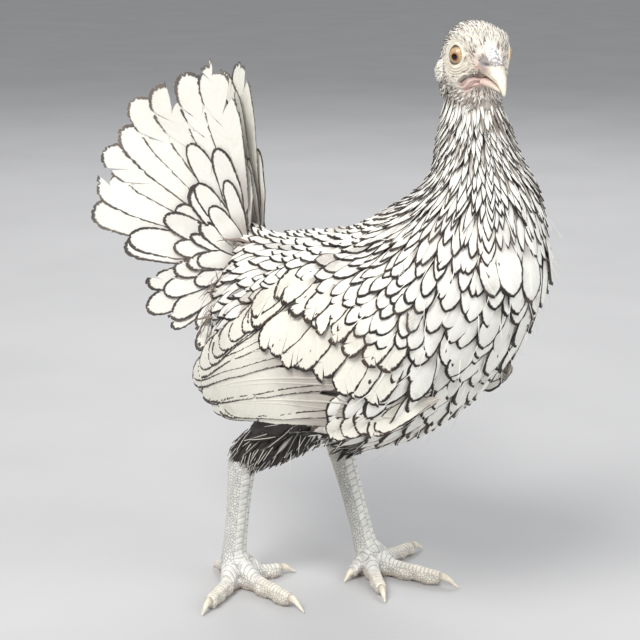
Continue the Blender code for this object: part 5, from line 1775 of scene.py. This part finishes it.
# %% [markdown]
# The head's feathers are tiny bristles. They grow from the bill back over the crown and down the cheeks,
# and stay thin on the lore and off the lids. Their table is in the head's own frame. A few neck feathers
# close the throat below them.
# %% Head coat
HEAD_COAT = {
    "forehead": ((11.5, 0, 11), (-0.6, 0, 0.8), 0.60, 1.6, 5.2, 0.80, 0.95, 0.06, 0.10, 0.5),
    "brow": ((8, 7, 12.5), (-0.85, 0.2, 0.4), 0.62, 1.8, 5.6, 0.82, 0.95, 0.08, 0.14, 0.6),
    "crown": ((0, 0, 15), (-1, 0, 0.1), 0.76, 2.2, 7.6, 1.05, 0.95, 0.12, 0.20, 0.9),
    "crown side": ((-1, 9, 11.5), (-1, 0.2, -0.1), 0.76, 2.2, 7.2, 1.05, 0.95, 0.14, 0.34, 0.9),
    "back": ((-14, 0, 6), (-0.5, 0, -1), 1.1, 2.6, 9, 1.6, 0.95, 0.22, 0.18, 1.4),
    "back side": ((-11, 9, 2), (-0.8, 0, -0.6), 1.0, 2.3, 7, 1.4, 0.95, 0.20, 0.20, 0.9),
    "behind eye": ((-4, 12.8, 2), (-1, 0, -0.25), 0.72, 1.7, 4.4, 0.9, 0.95, 0.10, 0.22, 0.4),
    "lore": ((11, 8.5, 3), (-0.6, 0.3, 0.8), 0.58, 1.3, 3.8, 0.66, 1.0, 0.04, 0.34, 0.55),
    "under eye": ((6, 13, -6.5), (-1, 0, -0.2), 0.70, 1.4, 2.6, 0.55, 1.0, 0.04, 0.40, 0.35),
    "upper lip": ((12.8, 6.4, -3.2), (-0.9, 0.2, -0.3), 0.42, 0.8, 2.4, 0.42, 1.0, 0.02, 1.0, 0.35),
    "cheek": ((-1, 13, -7), (-1, 0, -0.5), 0.68, 1.5, 4.2, 0.8, 0.95, 0.10, 0.60, 0.6),
    "jaw": ((2, 11, -12), (-0.8, 0, -0.8), 0.70, 1.6, 5.4, 0.9, 0.95, 0.12, 0.62, 0.9),
    "jaw back": ((-9, 10, -13), (-0.4, 0.0, -1), 0.95, 2.2, 8, 1.4, 0.95, 0.18, 0.05, 0.9),
    "chin": ((9, 3, -14.5), (-0.6, 0, -0.9), 0.66, 1.5, 4.6, 0.8, 0.95, 0.10, 0.65, 0.8),
    "throat": ((3, 4, -18), (-0.4, 0, -1), 0.80, 1.9, 7.0, 1.05, 0.95, 0.14, 0.60, 0.9),
}


def on_head(points):
    grown = blend_table(HEAD_COAT, to_head(points), reach=2.0)
    grown[:, :3] = grown[:, :3] @ HEAD_TURN.T
    return grown


def head_tract(points):
    """The whole head but the lids, the fleshy folds below the mouth, the comb's seat and the lobe's."""
    near = folded_head(points)
    x, y, z = near.T
    keep = (z > -20.5 + np.maximum(0, -x - 6)) & (x < 13.3)
    for side in BOTH:
        out, angle, height = lid_shape(points, side)
        bare = 1.32 + 0.55 * smooth_step(-0.2, 0.5, -np.cos(angle))
        keep &= (out > bare) | (height < -1)
    away, _ = line_distance(near[:, [0, 2]], MOUTH_LINE)
    fleshy = below_mouth(near) & (away < 3.4) & (x > 8.4) & (y > 1.5)
    keep &= ~(fleshy | ((away < 0.9) & (y > 3) & (x > 4)))
    comb = ((x - 14.4) / 3.9) ** 2 + (y / 3.2) ** 2 + ((z - 5) / 4.4) ** 2 < 1
    comb |= ((x - 13.4) / 1.4) ** 2 + ((y - 5.2) / 2.0) ** 2 + ((z - 3.2) / 3.0) ** 2 < 1
    lobe = (((near - np.array(LOBE_PLACE) * (1, 0, 1)) / (3.0, 99, 4.3)) ** 2).sum(axis=-1) < 1
    return keep & ~comb & ~(lobe & (y > 7))


def head_unwrap(places):
    near = to_head(places)
    around = np.arctan2(near[:, 1], near[:, 2]) / TAU + 0.5
    back = np.arccos(np.clip(unit(near)[:, 0], -1, 1)) / math.pi
    return stacked(0.02 + 0.95 * around, 0.02 + 0.95 * back)


bristly = feather_material(
    "face feather", (0.94, 0.915, 0.83), (0.05, 0.042, 0.04), fluff=(0.19, 0.155, 0.135), shafts=0.3
)
coat_piece(
    "head_feathers", head_tract, BRISTLE_PLAN, 40000, bristly, "face_feather",
    head_surface, on_head, head_unwrap, fuller=1.0,
)


def low_throat(points):
    x, _, z = to_head(points).T
    return (z < -13.5) & (z > -24) & (x > -5)


coat_piece(
    "throat_feathers", low_throat, SLIM_PLAN, 5000, neck_paint, "face_feather",
    head_surface, on_body, head_unwrap,
)

# %% [markdown]
# The eyeball is one ball with the clear front bulging a little. The iris is amber, streaked from the pupil
# outwards, with a dark ring at its rim. A thin clear layer over it makes it wet.
# %% Eyes
PUPIL_RADIUS, GAZE_AHEAD = 1.25, 1.15
eye_paint, w, shader = new_material("eye", 0.2, Coat_Weight=0.45, Coat_Roughness=0.02, Specular_IOR_Level=0.1)
up, aside, _ = w.split(w.attribute("gaze"))
low_up = w.plus(up, 0.35)
from_pupil, from_middle = (
    w.sum("SQRT", w.plus(w.times(v, v), w.times(aside, aside))) for v in (low_up, up)
)
turn_about = w.sum("ARCTAN2", aside, low_up)
spokes = w.vector(w.times(turn_about, 9.0), w.times(from_pupil, 0.7), 0.0)
iris = w.mix(w.range(w.noise(spokes, 1.3, 4.0, 0.7), 0.35, 0.68), (0.36, 0.22, 0.11), (0.70, 0.52, 0.31))
iris = w.mix(w.range(from_pupil, 1.3, 2.3), (0.22, 0.10, 0.045), iris)
iris = w.mix(w.range(from_middle, 3.3, 4.1), iris, (0.09, 0.05, 0.028))
iris = w.mix(w.range(from_pupil, PUPIL_RADIUS - 0.1, PUPIL_RADIUS + 0.12), (0.003, 0.003, 0.003), iris)
wire_up(w, shader, iris)
for side in BOTH:
    eye = ball(f"eye_{SIDE_NAMES[side]}_ball", eye_centre(side), (EYE_RADIUS,) * 3, eye_turn(side), 72, 60)
    gaze = to_eye(bird_points(eye), side)
    ahead = eye_turn(side).T @ HEAD_TURN[:, 0]
    aim_forward = np.array((0, math.copysign(GAZE_AHEAD, ahead[1]), 0))
    bulge = 0.30 * np.clip(1 - (np.hypot(gaze[:, 0], gaze[:, 1]) / 4.6) ** 2, 0, 1) * (gaze[:, 2] > 0)
    set_points(eye, bird_points(eye) + bulge[:, None] * eye_turn(side)[:, 2])
    write_vectors(eye, "gaze", gaze - aim_forward)
    eye.data.shade_smooth()
    finish_piece(dress(eye, eye_paint), "eye", f"eye_{SIDE_NAMES[side]}")

# %% [markdown]
# Each half of the bill is a tube of rounded rings, with a ridge along the top, a cutting edge below and a
# flap over each nostril. Ivory horn turns grey and pink towards the base.
# %% Bill
UPPER_BILL = [
    (0.0, 5.8, -4.2, 5.6), (3, 4.6, -4.4, 4.8), (6.5, 2.2, -5, 3.8),
    (9.8, -0.8, -6, 2.7), (12.3, -4.2, -7.8, 1.6), (14, -8.2, -10.2, 0.7),
]
LOWER_BILL = [
    (0.3, -4.9, -8.8, 4.5), (3, -5, -8.7, 4), (6.5, -5.6, -8.5, 3.1),
    (9.3, -6.6, -8.5, 2), (11, -7.8, -8.8, 1),
]
IVORY, HORN_GREY, HORN_PINK = (0.84, 0.79, 0.65), (0.26, 0.235, 0.24), (0.62, 0.42, 0.38)


def bill_form(name, stations, keel, rows=70, sides=72):
    """keel makes the upper side narrower (if over 0) or flatter (if under 0)."""
    u = (len(stations) - 1) * np.linspace(0, 1, rows) ** 0.85
    x, top, low, half = spline(stations, u).T
    a = turn_steps(sides)
    up, out = np.cos(a), np.sin(a)
    out = np.sign(out) * np.abs(out) ** 0.92 * (1 - keel * np.clip(up, 0, 1) ** 1.5)
    tip = np.sqrt(np.clip(1 - np.clip((u - u[-1] + 0.35) / 0.35, 0, 1) ** 2, 0.02, 1))[:, None]
    rise = ((top + low) / 2)[:, None] + ((top - low) / 2)[:, None] * up * tip
    return loft(name, in_head(stacked(x[:, None] + BILL_BASE + 0 * up, half[:, None] * out * tip, rise)))


horn = bare_material("horn", 0.5, 260, 900, 0.00004, Coat_Weight=0.04, Coat_Roughness=0.4)
upper = bill_form("bill_upper_horn", UPPER_BILL, 0.34)
near = folded_head(bird_points(upper))
flap = mound(near, (BILL_BASE + 3.6, 4.4, 0.8), (2.4, 2.5, 1.6), 0.5)
slit = mound(near, (BILL_BASE + 3.6, 4.6, 1.6), (2.0, 2.5, 0.5), 0.9)
cutting = smooth_step(-1, -4, near[:, 2]) * (near[:, 0] < BILL_BASE + 10)
edge = 0.14 * np.cos(TAU * (near[:, 2] + 0.35 * near[:, 0]) / 1.6) * cutting
push_out(upper, flap - slit + edge)
far = near[:, 0] - BILL_BASE


def bill_spot(x, z, radii, strength):
    """A soft spot of colour on the side of the bill."""
    return np.clip(mound(near, (BILL_BASE + x, 4.6, z), radii, strength), 0, 0.95)


paint(upper, layered(
    blend(IVORY, HORN_PINK, bill_spot(3.2, -0.2, (2.8, 3.0, 1.7), 1.1)),
    ((0.50, 0.46, 0.46), 0.8 * smooth_step(6.5, 3.0, far - 0.5 * near[:, 2]) * (near[:, 2] > 0)),
    (HORN_GREY, bill_spot(2.4, 3.2, (2.6, 3.2, 2.0), 2.2)),
    # Painted shade inside the sunken slit of the nostril.
    ((0.05, 0.035, 0.035), slit),
    # Painted shade along the lower edge of the bill's base, where it meets the mouth.
    ((0.20, 0.155, 0.14), bill_spot(1.0, -4.0, (2.6, 3.0, 0.8), 0.85)),
    ((0.60, 0.52, 0.44), 0.4 * smooth_step(5.5, 0, far) * (near[:, 2] < -3)),
))
lower = bill_form("bill_lower_horn", LOWER_BILL, -0.15)
far = to_head(bird_points(lower))[:, 0] - BILL_BASE
paint(lower, blend((0.70, 0.54, 0.48), IVORY, 0.55 * smooth_step(3, 11, far)))
for piece, node in ((upper, "bill_upper"), (lower, "bill_lower")):
    finish_piece(dress(piece, horn), "horn", node)

# %% [markdown]
# The young hen's comb is a low cushion of small points between bill and forehead. A dome is pushed out in a
# close pattern of knobs. The lobe below each ear is a flat white cushion, finely wrinkled.
# %% Comb and lobes
COMB_PLACE, COMB_SLOPE = np.array((15.0, 0, 4.6)), np.array(Matrix.Rotation(math.radians(38), 3, "Y"))
comb = ball("comb_flesh", in_head(COMB_PLACE), (6.6, 3.4, 1.6), HEAD_TURN @ COMB_SLOPE, 170, 120)
near = (to_head(bird_points(comb)) - COMB_PLACE) @ COMB_SLOPE
rows = near[:, 0] / 1.25 + 0.35 * np.sin(near[:, 1] * 1.9 + near[:, 0])
shift = near[:, 1] / 1.05 + 0.5 * (np.round(rows) % 2) + 0.3 * np.sin(near[:, 0] * 2.3)
knob = np.cos(math.pi * (rows - np.round(rows))) * np.cos(math.pi * (shift - np.round(shift)))
top = smooth_step(-0.6, 0.5, near[:, 2])
uneven = 0.75 + 0.5 * np.sin(np.round(rows) * 7.3 + np.round(shift) * 3.1)
push_out(comb, 0.5 * knob * top * uneven)
# The comb's grey and white are a mottle, and through the knob term also painted shade: greyer in the hollows
# between the knobs.
share = smooth_step(-0.25, 0.35, 0.5 * knob * uneven + 0.9 * noise_at(near, 0.8) - 0.05 * near[:, 0])
dress(paint(comb, blend((0.42, 0.385, 0.385), (0.92, 0.90, 0.86), share)), face_paint)
finish_piece(comb, "face_skin", "comb")


def lobe_down(points):
    """White down that lies back and down over the lobe, and stands out at its rear edge."""
    lie = np.array((-0.55, 0, -0.85)) @ HEAD_TURN.T
    return np.tile((*lie, 0.85, 1.5, 3.4, 0.85, 0.95, 0.03, 0.0, 0.7), (len(points), 1))


for side in BOTH:
    place = np.array(LOBE_PLACE) * (1, side, 1)
    lobe = ball(f"earlobe_{SIDE_NAMES[side]}_skin", in_head(place), (3.4, 1.7, 4.8), HEAD_TURN, 96, 80)
    x, _, z = (to_head(bird_points(lobe)) - place).T
    wrinkle = np.sin(z * 5.2 + 1.5 * np.sin(x * 1.7)) * np.cos(x * 2.3 + z)
    push_out(lobe, 0.16 * wrinkle)
    # Painted shade: the lobe is greyer in the valleys of its wrinkles and whitest on their ridges.
    unshaded_ridges = smooth_step(-0.9, 0.1, wrinkle)
    dress(paint(lobe, blend((0.70, 0.66, 0.60), (0.90, 0.88, 0.82), unshaded_ridges)), face_paint)
    finish_piece(lobe, "earlobe", f"earlobe_{SIDE_NAMES[side]}")

    def outer_face(points):
        return (to_head(points) - place) @ (-0.15, side, 0) > -0.4

    coat_piece(
        f"earlobe_down_{SIDE_NAMES[side]}", outer_face, BRISTLE_PLAN, 900, bristly, "face_feather",
        Surface(lobe), lobe_down, head_unwrap, fuller=1.0,
    )

# %% [markdown]
# Each leg below the feathers is one skin: shank, pad, toes and the web between them are kneaded together.
# Two rows of plates run down the front of the shank, small round scales cover its sides, bands cross the
# tops of the toes, and soft lumps cushion them below. Each point gets its place on this pattern as an
# attribute, and a node group draws the scales' edges from it.
# %% Leg form
SHANK_RADII = ((7.0,), (6.0,), (5.5,), (5.6,), (6.3,))
TOES = {
    # side, toe: heading in degrees, length to the nail, radius at its root
    (RIGHT, "inner"): (64, 18, 3.9),
    (RIGHT, "middle"): (-8, 35, 4.3),
    (RIGHT, "outer"): (-71, 29.5, 3.8),
    (RIGHT, "hind"): (165, 13, 3.3),
    (LEFT, "inner"): (-40, 28, 3.7),
    (LEFT, "middle"): (12, 35.5, 4.3),
    (LEFT, "outer"): (84, 28, 3.8),
    (LEFT, "hind"): (-88, 9, 3.3),
}
CLAW_LENGTH = {"inner": 9.0, "middle": 10.5, "outer": 9.0, "hind": 7.0}
PADS = {"inner": 2.0, "middle": 3.0, "outer": 3.5, "hind": 1.0}
HIND_RISE = 6.5
PLATE, BAND = 3.5, 2.1  # mm between the shank's plates, and between the toes' bands
FRONT_HALF = 4.6  # mm that the plates reach from the middle of the shank's front, to each side
SCALE_GREY, SOLE_TAN, TOE_CREAM = (0.78, 0.77, 0.72), (0.72, 0.53, 0.40), (0.84, 0.775, 0.65)


def toe_line(side, toe):
    """Where a toe starts, the ways along and across it, its length and its radius at the root."""
    degrees, length, radius = TOES[side, toe]
    heading = math.radians(degrees)
    along = np.array((math.cos(heading), math.sin(heading), 0))
    across = np.array((-along[1], along[0], 0))
    return np.array((*FOOT[side], 0)) + along * 4.5, along, across, length, radius


def toe_axis(side, toe, share):
    """Height and radius of the toe's round at a share of its length."""
    radius = TOES[side, toe][2]
    lifted = HIND_RISE * (1 - share) if toe == "hind" else 0.0
    return radius * (0.98 - 0.14 * share) + lifted, radius * (1 - 0.24 * share)


def shank_form(side):
    top, low = np.array(HOCK[side], float), np.array(ANKLE[side], float)
    a = turn_steps(48)
    rings = []
    for share in np.linspace(-0.02, 1.04, 50):
        radius = spline(SHANK_RADII, np.clip(share, 0, 1) * 4)[0] + 0.35
        hollow = np.exp(-(((np.abs(np.sin(a)) - 0.75) / 0.3) ** 2)) * (np.cos(a) < 0)
        shape = 1 - 0.07 * np.cos(2 * a + math.pi) ** 2 - 0.10 * hollow
        centre = top + (low - top) * share
        rings.append(oval_at(centre, AHEAD, LEFTWARD, radius * 1.06 * shape, radius * 0.92 * shape, 48))
    return loft(f"shank form {side}", rings)


def toe_form(side, toe):
    root, along, across, length, _ = toe_line(side, toe)
    a = turn_steps(32)
    rings = []
    for share in np.linspace(0, 1, 60):
        height, thick = toe_axis(side, toe, share)
        thick = thick * 1.12 * math.sqrt(max(0.12, 1 - max(0, (share - 0.93) / 0.075) ** 2))
        cushion = 1 + 0.13 * math.sin(TAU * share * PADS[toe] - 1.2) * smooth_step(0.0, 0.2, share)
        grow = np.where(np.cos(a) < 0.2, cushion, 1 + 0.03 * math.cos(TAU * share * PADS[toe]))
        middle = root + along * (-2 + (length + 2.4) * share)
        ring = middle + across * (thick * 0.97 * grow * np.sin(a))[:, None]
        ring[:, 2] = height + thick * grow * np.cos(a)
        rings.append(ring)
    return loft(f"toe form {side} {toe}", rings)


def instep(side, toe):
    """The slope that runs from the shank down to a toe."""
    root, along, _, length, radius = toe_line(side, toe)
    start = np.array(ANKLE[side], float) + (np.array(HOCK[side]) - np.array(ANKLE[side])) * 0.10
    end = root + along * min(9.0, length * 0.4) + np.array((0, 0, radius * 0.95))
    radii = 5.3 + (radius * 0.92 - 5.3) * np.linspace(0, 1, 14)
    return loft(f"instep {side} {toe}", straight_rings(start, end, radii, 24))


def web(side, first_toe, second_toe):
    """A low fold of skin between the roots of two toes."""
    centre = np.array((*FOOT[side], 2.6))
    a, b = (toe_line(side, toe)[1] for toe in (first_toe, second_toe))
    rings = []
    for k in np.linspace(0, 1, 12):
        way = unit(a * (1 - k) + b * k)
        reach = 14.5 - 8.0 * math.sin(math.pi * k) ** 0.8
        tip = centre + way * reach
        rings.append(oval_at((centre + tip) / 2, way, UPWARD, reach / 2, 1.5, 20))
    return loft(f"web {side} {first_toe}", rings)


def pad_form(side):
    rings = []
    for height, share in ((0.0, 0.80), (1.2, 0.96), (4.0, 1.0), (7.0, 0.92), (9.0, 0.72)):
        radius = 8.4 * share
        rings.append(oval_at(np.array((*FOOT[side], height)), AHEAD, LEFTWARD, radius, radius, 32))
    return loft(f"pad form {side}", rings)


# %% [markdown]
# The kneaded leg gets its scales in relief. Each point is counted round and along the shank or the nearest
# toe, and stands out by its distance from the nearest edge of a scale.
# %% Leg skin
def scale_places(points, normals, side):
    """Each point's place across and along the scales, its kind (0 shank, 1 toe), and how far below it is."""
    top, low = np.array(HOCK[side], float), np.array(ANKLE[side], float)
    axis = unit(low - top)
    along = (points - top) @ axis
    radial = points - top - along[:, None] * axis
    around = np.arctan2(radial[:, 1], radial[:, 0])
    place = stacked(around * 5.6, along)
    kind = np.zeros(len(points))
    on_toe = smooth_step(15.5, 12.5, points[:, 2])
    best = np.full(len(points), 1e9)
    for toe in ("inner", "middle", "outer", "hind"):
        root, way, across_way, length, radius = toe_line(side, toe)
        s, c = (points - root) @ way, (points - root) @ across_way
        share = np.clip(s / length, 0, 1)
        height, _ = toe_axis(side, toe, share)
        past_end = np.maximum(np.maximum(-s - 3, s - length - 2), 0)
        away = np.hypot(past_end, np.hypot(c, points[:, 2] - height))
        nearer = (away < best) & (on_toe > 0.5)
        best = np.where(nearer, away, best)
        turn = np.arctan2(c, points[:, 2] - height)
        place = np.where(nearer[:, None], stacked(turn * radius, s), place)
        kind = np.where(nearer, 1.0, kind)
    under = smooth_step(0.0, -0.75, normals[:, 2]) * kind
    return place, kind, under


def leg_skin(side):
    parts = [shank_form(side), pad_form(side)]
    parts += [toe_form(side, toe) for toe in PADS]
    parts += [instep(side, toe) for toe in ("inner", "middle", "outer")]
    parts += [web(side, "inner", "middle"), web(side, "middle", "outer")]
    made = knead(f"leg_skin_{SIDE_NAMES[side]}", parts, 0.40, 3)
    points, normals = bird_points(made), vertex_normals(made)
    place, kind, under = scale_places(points, normals, side)
    across, along = place.T
    front = (kind < 0.5) & (np.abs(across) < FRONT_HALF)
    shifted = along + np.where(across > 0, PLATE / 2, 0)
    plate = np.minimum(np.abs(shifted / PLATE - np.round(shifted / PLATE)) * PLATE, np.abs(across))
    relief = np.where(front, 0.20 * smooth_step(0.1, 0.8, plate) - 0.05, 0.0)
    band = np.abs(along / BAND - np.round(along / BAND)) * BAND
    relief = np.where((kind > 0.5) & (np.abs(across) < 3.4), 0.16 * smooth_step(0.1, 0.6, band), relief)
    lumps = noise_at(points, 0.75)
    relief = relief + under * 0.42 * lumps + 0.06 * lumps
    points = points + normals * relief[:, None]
    points[:, 2] = np.maximum(points[:, 2], 0.0)
    set_points(made, points)
    write_vectors(made, "scales", stacked(across, along, kind))
    warm = smooth_step(0.35, -0.5, normals[:, 2]) * kind + 0.35 * smooth_step(3, 0, points[:, 2])
    warm = np.clip(warm, 0, 1)
    out = np.hypot(*(points[:, :2] - FOOT[side]).T)
    return paint(made, layered(
        blend(SCALE_GREY, SOLE_TAN, warm * (0.55 + 0.5 * lumps)), (TOE_CREAM, smooth_step(10, 26, out) * 0.8)
    ))


# %% [markdown]
# The scales' edges are lines at an even distance. On the front of shank and toes they are plates and bands,
# and elsewhere the cells of a pattern of random points. The leg's skin takes its dark seams and relief from
# it.
# %% The scales' pattern
scale_pattern, w, given, out = node_group("Scale pattern", {}, {"Edge": FLOAT, "Height": FLOAT})
across, along, kind = w.split(w.attribute("scales"))
from_front = w.sum("ABSOLUTE", across)


def stripe(value, pitch):
    """Distance to the nearest of even lines, in mm."""
    turns = w.sum("DIVIDE", value, pitch)
    return w.times(w.sum("ABSOLUTE", w.minus(turns, w.sum("ROUND", turns))), pitch)


waved = w.plus(along, w.times(w.minus(w.noise(w.object_place(), 260.0, 1.0), 0.5), 0.9))
bowed = w.minus(waved, w.times(w.times(across, across), 0.05))
half_step = w.times(w.sum("GREATER_THAN", across, 0.0), PLATE / 2)
plates = w.sum("MINIMUM", stripe(w.plus(bowed, half_step), PLATE), from_front)
plates = w.sum("MINIMUM", plates, w.sum("ABSOLUTE", w.minus(from_front, FRONT_HALF)))
bands = stripe(bowed, BAND)
flat_place = w.vector(across, along, 0.0)
cells = w.add(
    "ShaderNodeTexVoronoi", {"Vector": flat_place, "Scale": 0.68},
    feature="DISTANCE_TO_EDGE", voronoi_dimensions="2D",
)
cells = w.times(cells.outputs["Distance"], 1.35)
on_toe = w.sum("GREATER_THAN", kind, 0.5)
front_half = w.minus(FRONT_HALF, w.times(on_toe, 1.5))
on_front = w.sum("LESS_THAN", from_front, front_half)
large = w.add("ShaderNodeMix", {0: on_toe, 2: plates, 3: bands}).outputs[0]
away = w.add("ShaderNodeMix", {0: on_front, 2: cells, 3: large}).outputs[0]
scale_pattern.links.new(w.minus(1.0, w.range(away, 0.06, 0.26)), out["Edge"])
scale_pattern.links.new(w.range(away, 0.0, 0.55), out["Height"])

leg_paint, w, shader = new_material("leg skin", 0.42, Specular_IOR_Level=0.35)
group = w.add("ShaderNodeGroup", node_tree=scale_pattern)
place = w.object_place()
tint, _ = mottled_tint(w, place, 320.0, 1.06)
tint = w.mix(w.times(group.outputs["Edge"], 0.72), tint, (0.26, 0.265, 0.27))
height = w.plus(group.outputs["Height"], w.times(w.noise(place, 2600.0), 0.12))
wire_up(w, shader, tint, height, 0.00022, 0.7)
for side in BOTH:
    leg = dress(leg_skin(side), leg_paint)
    name = SIDE_NAMES[side]
    finish_piece(leg, "leg_skin", f"shank_{name}", *(f"toe_{toe}_{name}" for toe in PADS))

# %% [markdown]
# The claws are blunt, curved cones of ivory horn with a grey root, flat below, one for each toe.
# %% Claws
for side, toe in TOES:
    root, along, across, length, radius = toe_line(side, toe)
    start, long, base = root + along * (length - 0.9), CLAW_LENGTH[toe] + 0.7, radius * 1.02
    a = turn_steps(28)
    rings = []
    for t in np.append(np.linspace(0, 0.97, 26), (0.99, 1.0)):
        thick = 2.4 * (1 - 0.80 * t**1.35) * math.sqrt(max(0.03, 1 - max(0, (t - 0.93) / 0.07) ** 2))
        height = base + 0.8 * math.sin(math.pi * min(t * 1.3, 1.0)) - (base - 0.75) * t**1.8
        ring = start + along * long * t + across * (thick * 0.74 * np.sin(a))[:, None]
        ring[:, 2] = np.maximum(0.05, height + thick * np.cos(a) * (1 - 0.18 * (np.cos(a) < 0)))
        rings.append(ring)
    name = f"{toe}_{SIDE_NAMES[side]}"
    claw = loft(f"claw_{name}_horn", rings)
    far = (bird_points(claw) - start) @ along / long
    root_grey = smooth_step(0.34, 0.08, far)
    dress(paint(claw, blend((0.80, 0.74, 0.60), (0.40, 0.34, 0.30), root_grey * 0.75)), horn)
    finish_piece(claw, "horn", f"claw_{name}")

# %% [markdown]
# The camera stands where the photograph was taken from: ahead of her right side, a little above her back.
# The floor is a large plain plane that fades into a world of the same pale grey, with three soft lamps.
# %% Camera, floor and light
AIM = Vector((0.0373, 0.0192, 0.138))
AZIMUTH, DISTANCE, CAMERA_HEIGHT = 40, 0.736, 0.322


def look_from(obj, azimuth, distance, height):
    """Sets a camera or lamp round the bird, in degrees and metres, and turns it to her."""
    a = math.radians(azimuth)
    obj.location = (AIM.x + distance * math.sin(a), AIM.y - distance * math.cos(a), height)
    obj.rotation_euler = (AIM - obj.location).to_track_quat("-Z", "Y").to_euler()


camera_data = bpy.data.cameras.new("camera")
camera = bpy.data.objects.new("camera", camera_data)
bpy.context.scene.collection.objects.link(camera)
camera_data.sensor_width, camera_data.lens = 36.0, 90.0
camera_data.clip_start = 0.02
look_from(camera, AZIMUTH, DISTANCE, CAMERA_HEIGHT)
bpy.context.scene.camera = camera

bpy.ops.object.select_all(action="DESELECT")
bpy.ops.mesh.primitive_circle_add(vertices=96, radius=7.0, fill_type="NGON", location=(0, 0, 0))
floor = bpy.context.active_object
floor.name = "floor"
floor_paint, w, shader = new_material("floor", 0.75)
floor_tone = w.range(w.noise(w.object_place(), 6.0, 3.0), 0.3, 0.7, 0.50, 0.53)
wire_up(w, shader, w.vector(floor_tone, floor_tone, w.times(floor_tone, 1.01)))
dress(floor, floor_paint)


def soft_lamp(name, azimuth, height, distance, size, watts, warmth=(1, 1, 1)):
    """A square lamp that looks at the bird. azimuth 0 is behind a camera that looks along +Y."""
    data = bpy.data.lights.new(name, "AREA")
    data.size, data.energy, data.color = size, watts, warmth
    lamp = bpy.data.objects.new(name, data)
    bpy.context.scene.collection.objects.link(lamp)
    look_from(lamp, azimuth, distance, height)


soft_lamp("key", 5, 1.5, 1.2, 0.9, 31, (1.0, 0.985, 0.96))
soft_lamp("fill", 95, 0.8, 1.5, 1.2, 12, (0.96, 0.98, 1.0))
soft_lamp("back", 215, 1.4, 1.3, 0.9, 12)

sky = bpy.data.worlds.new("studio")
bpy.context.scene.world = sky
sky.use_nodes = True
sky.node_tree.nodes["Background"].inputs["Color"].default_value = (0.80, 0.81, 0.83, 1)
sky.node_tree.nodes["Background"].inputs["Strength"].default_value = 0.55
bpy.context.scene.view_settings.view_transform = "Standard"
bpy.context.scene.view_settings.look = "None"

# %% [markdown]
# Last, the helper guide goes. The dressed bird may stand proud of the CAD model by a few per cent, as
# feathers do.
# %% Finish
bpy.data.objects.remove(guide, do_unlink=True)
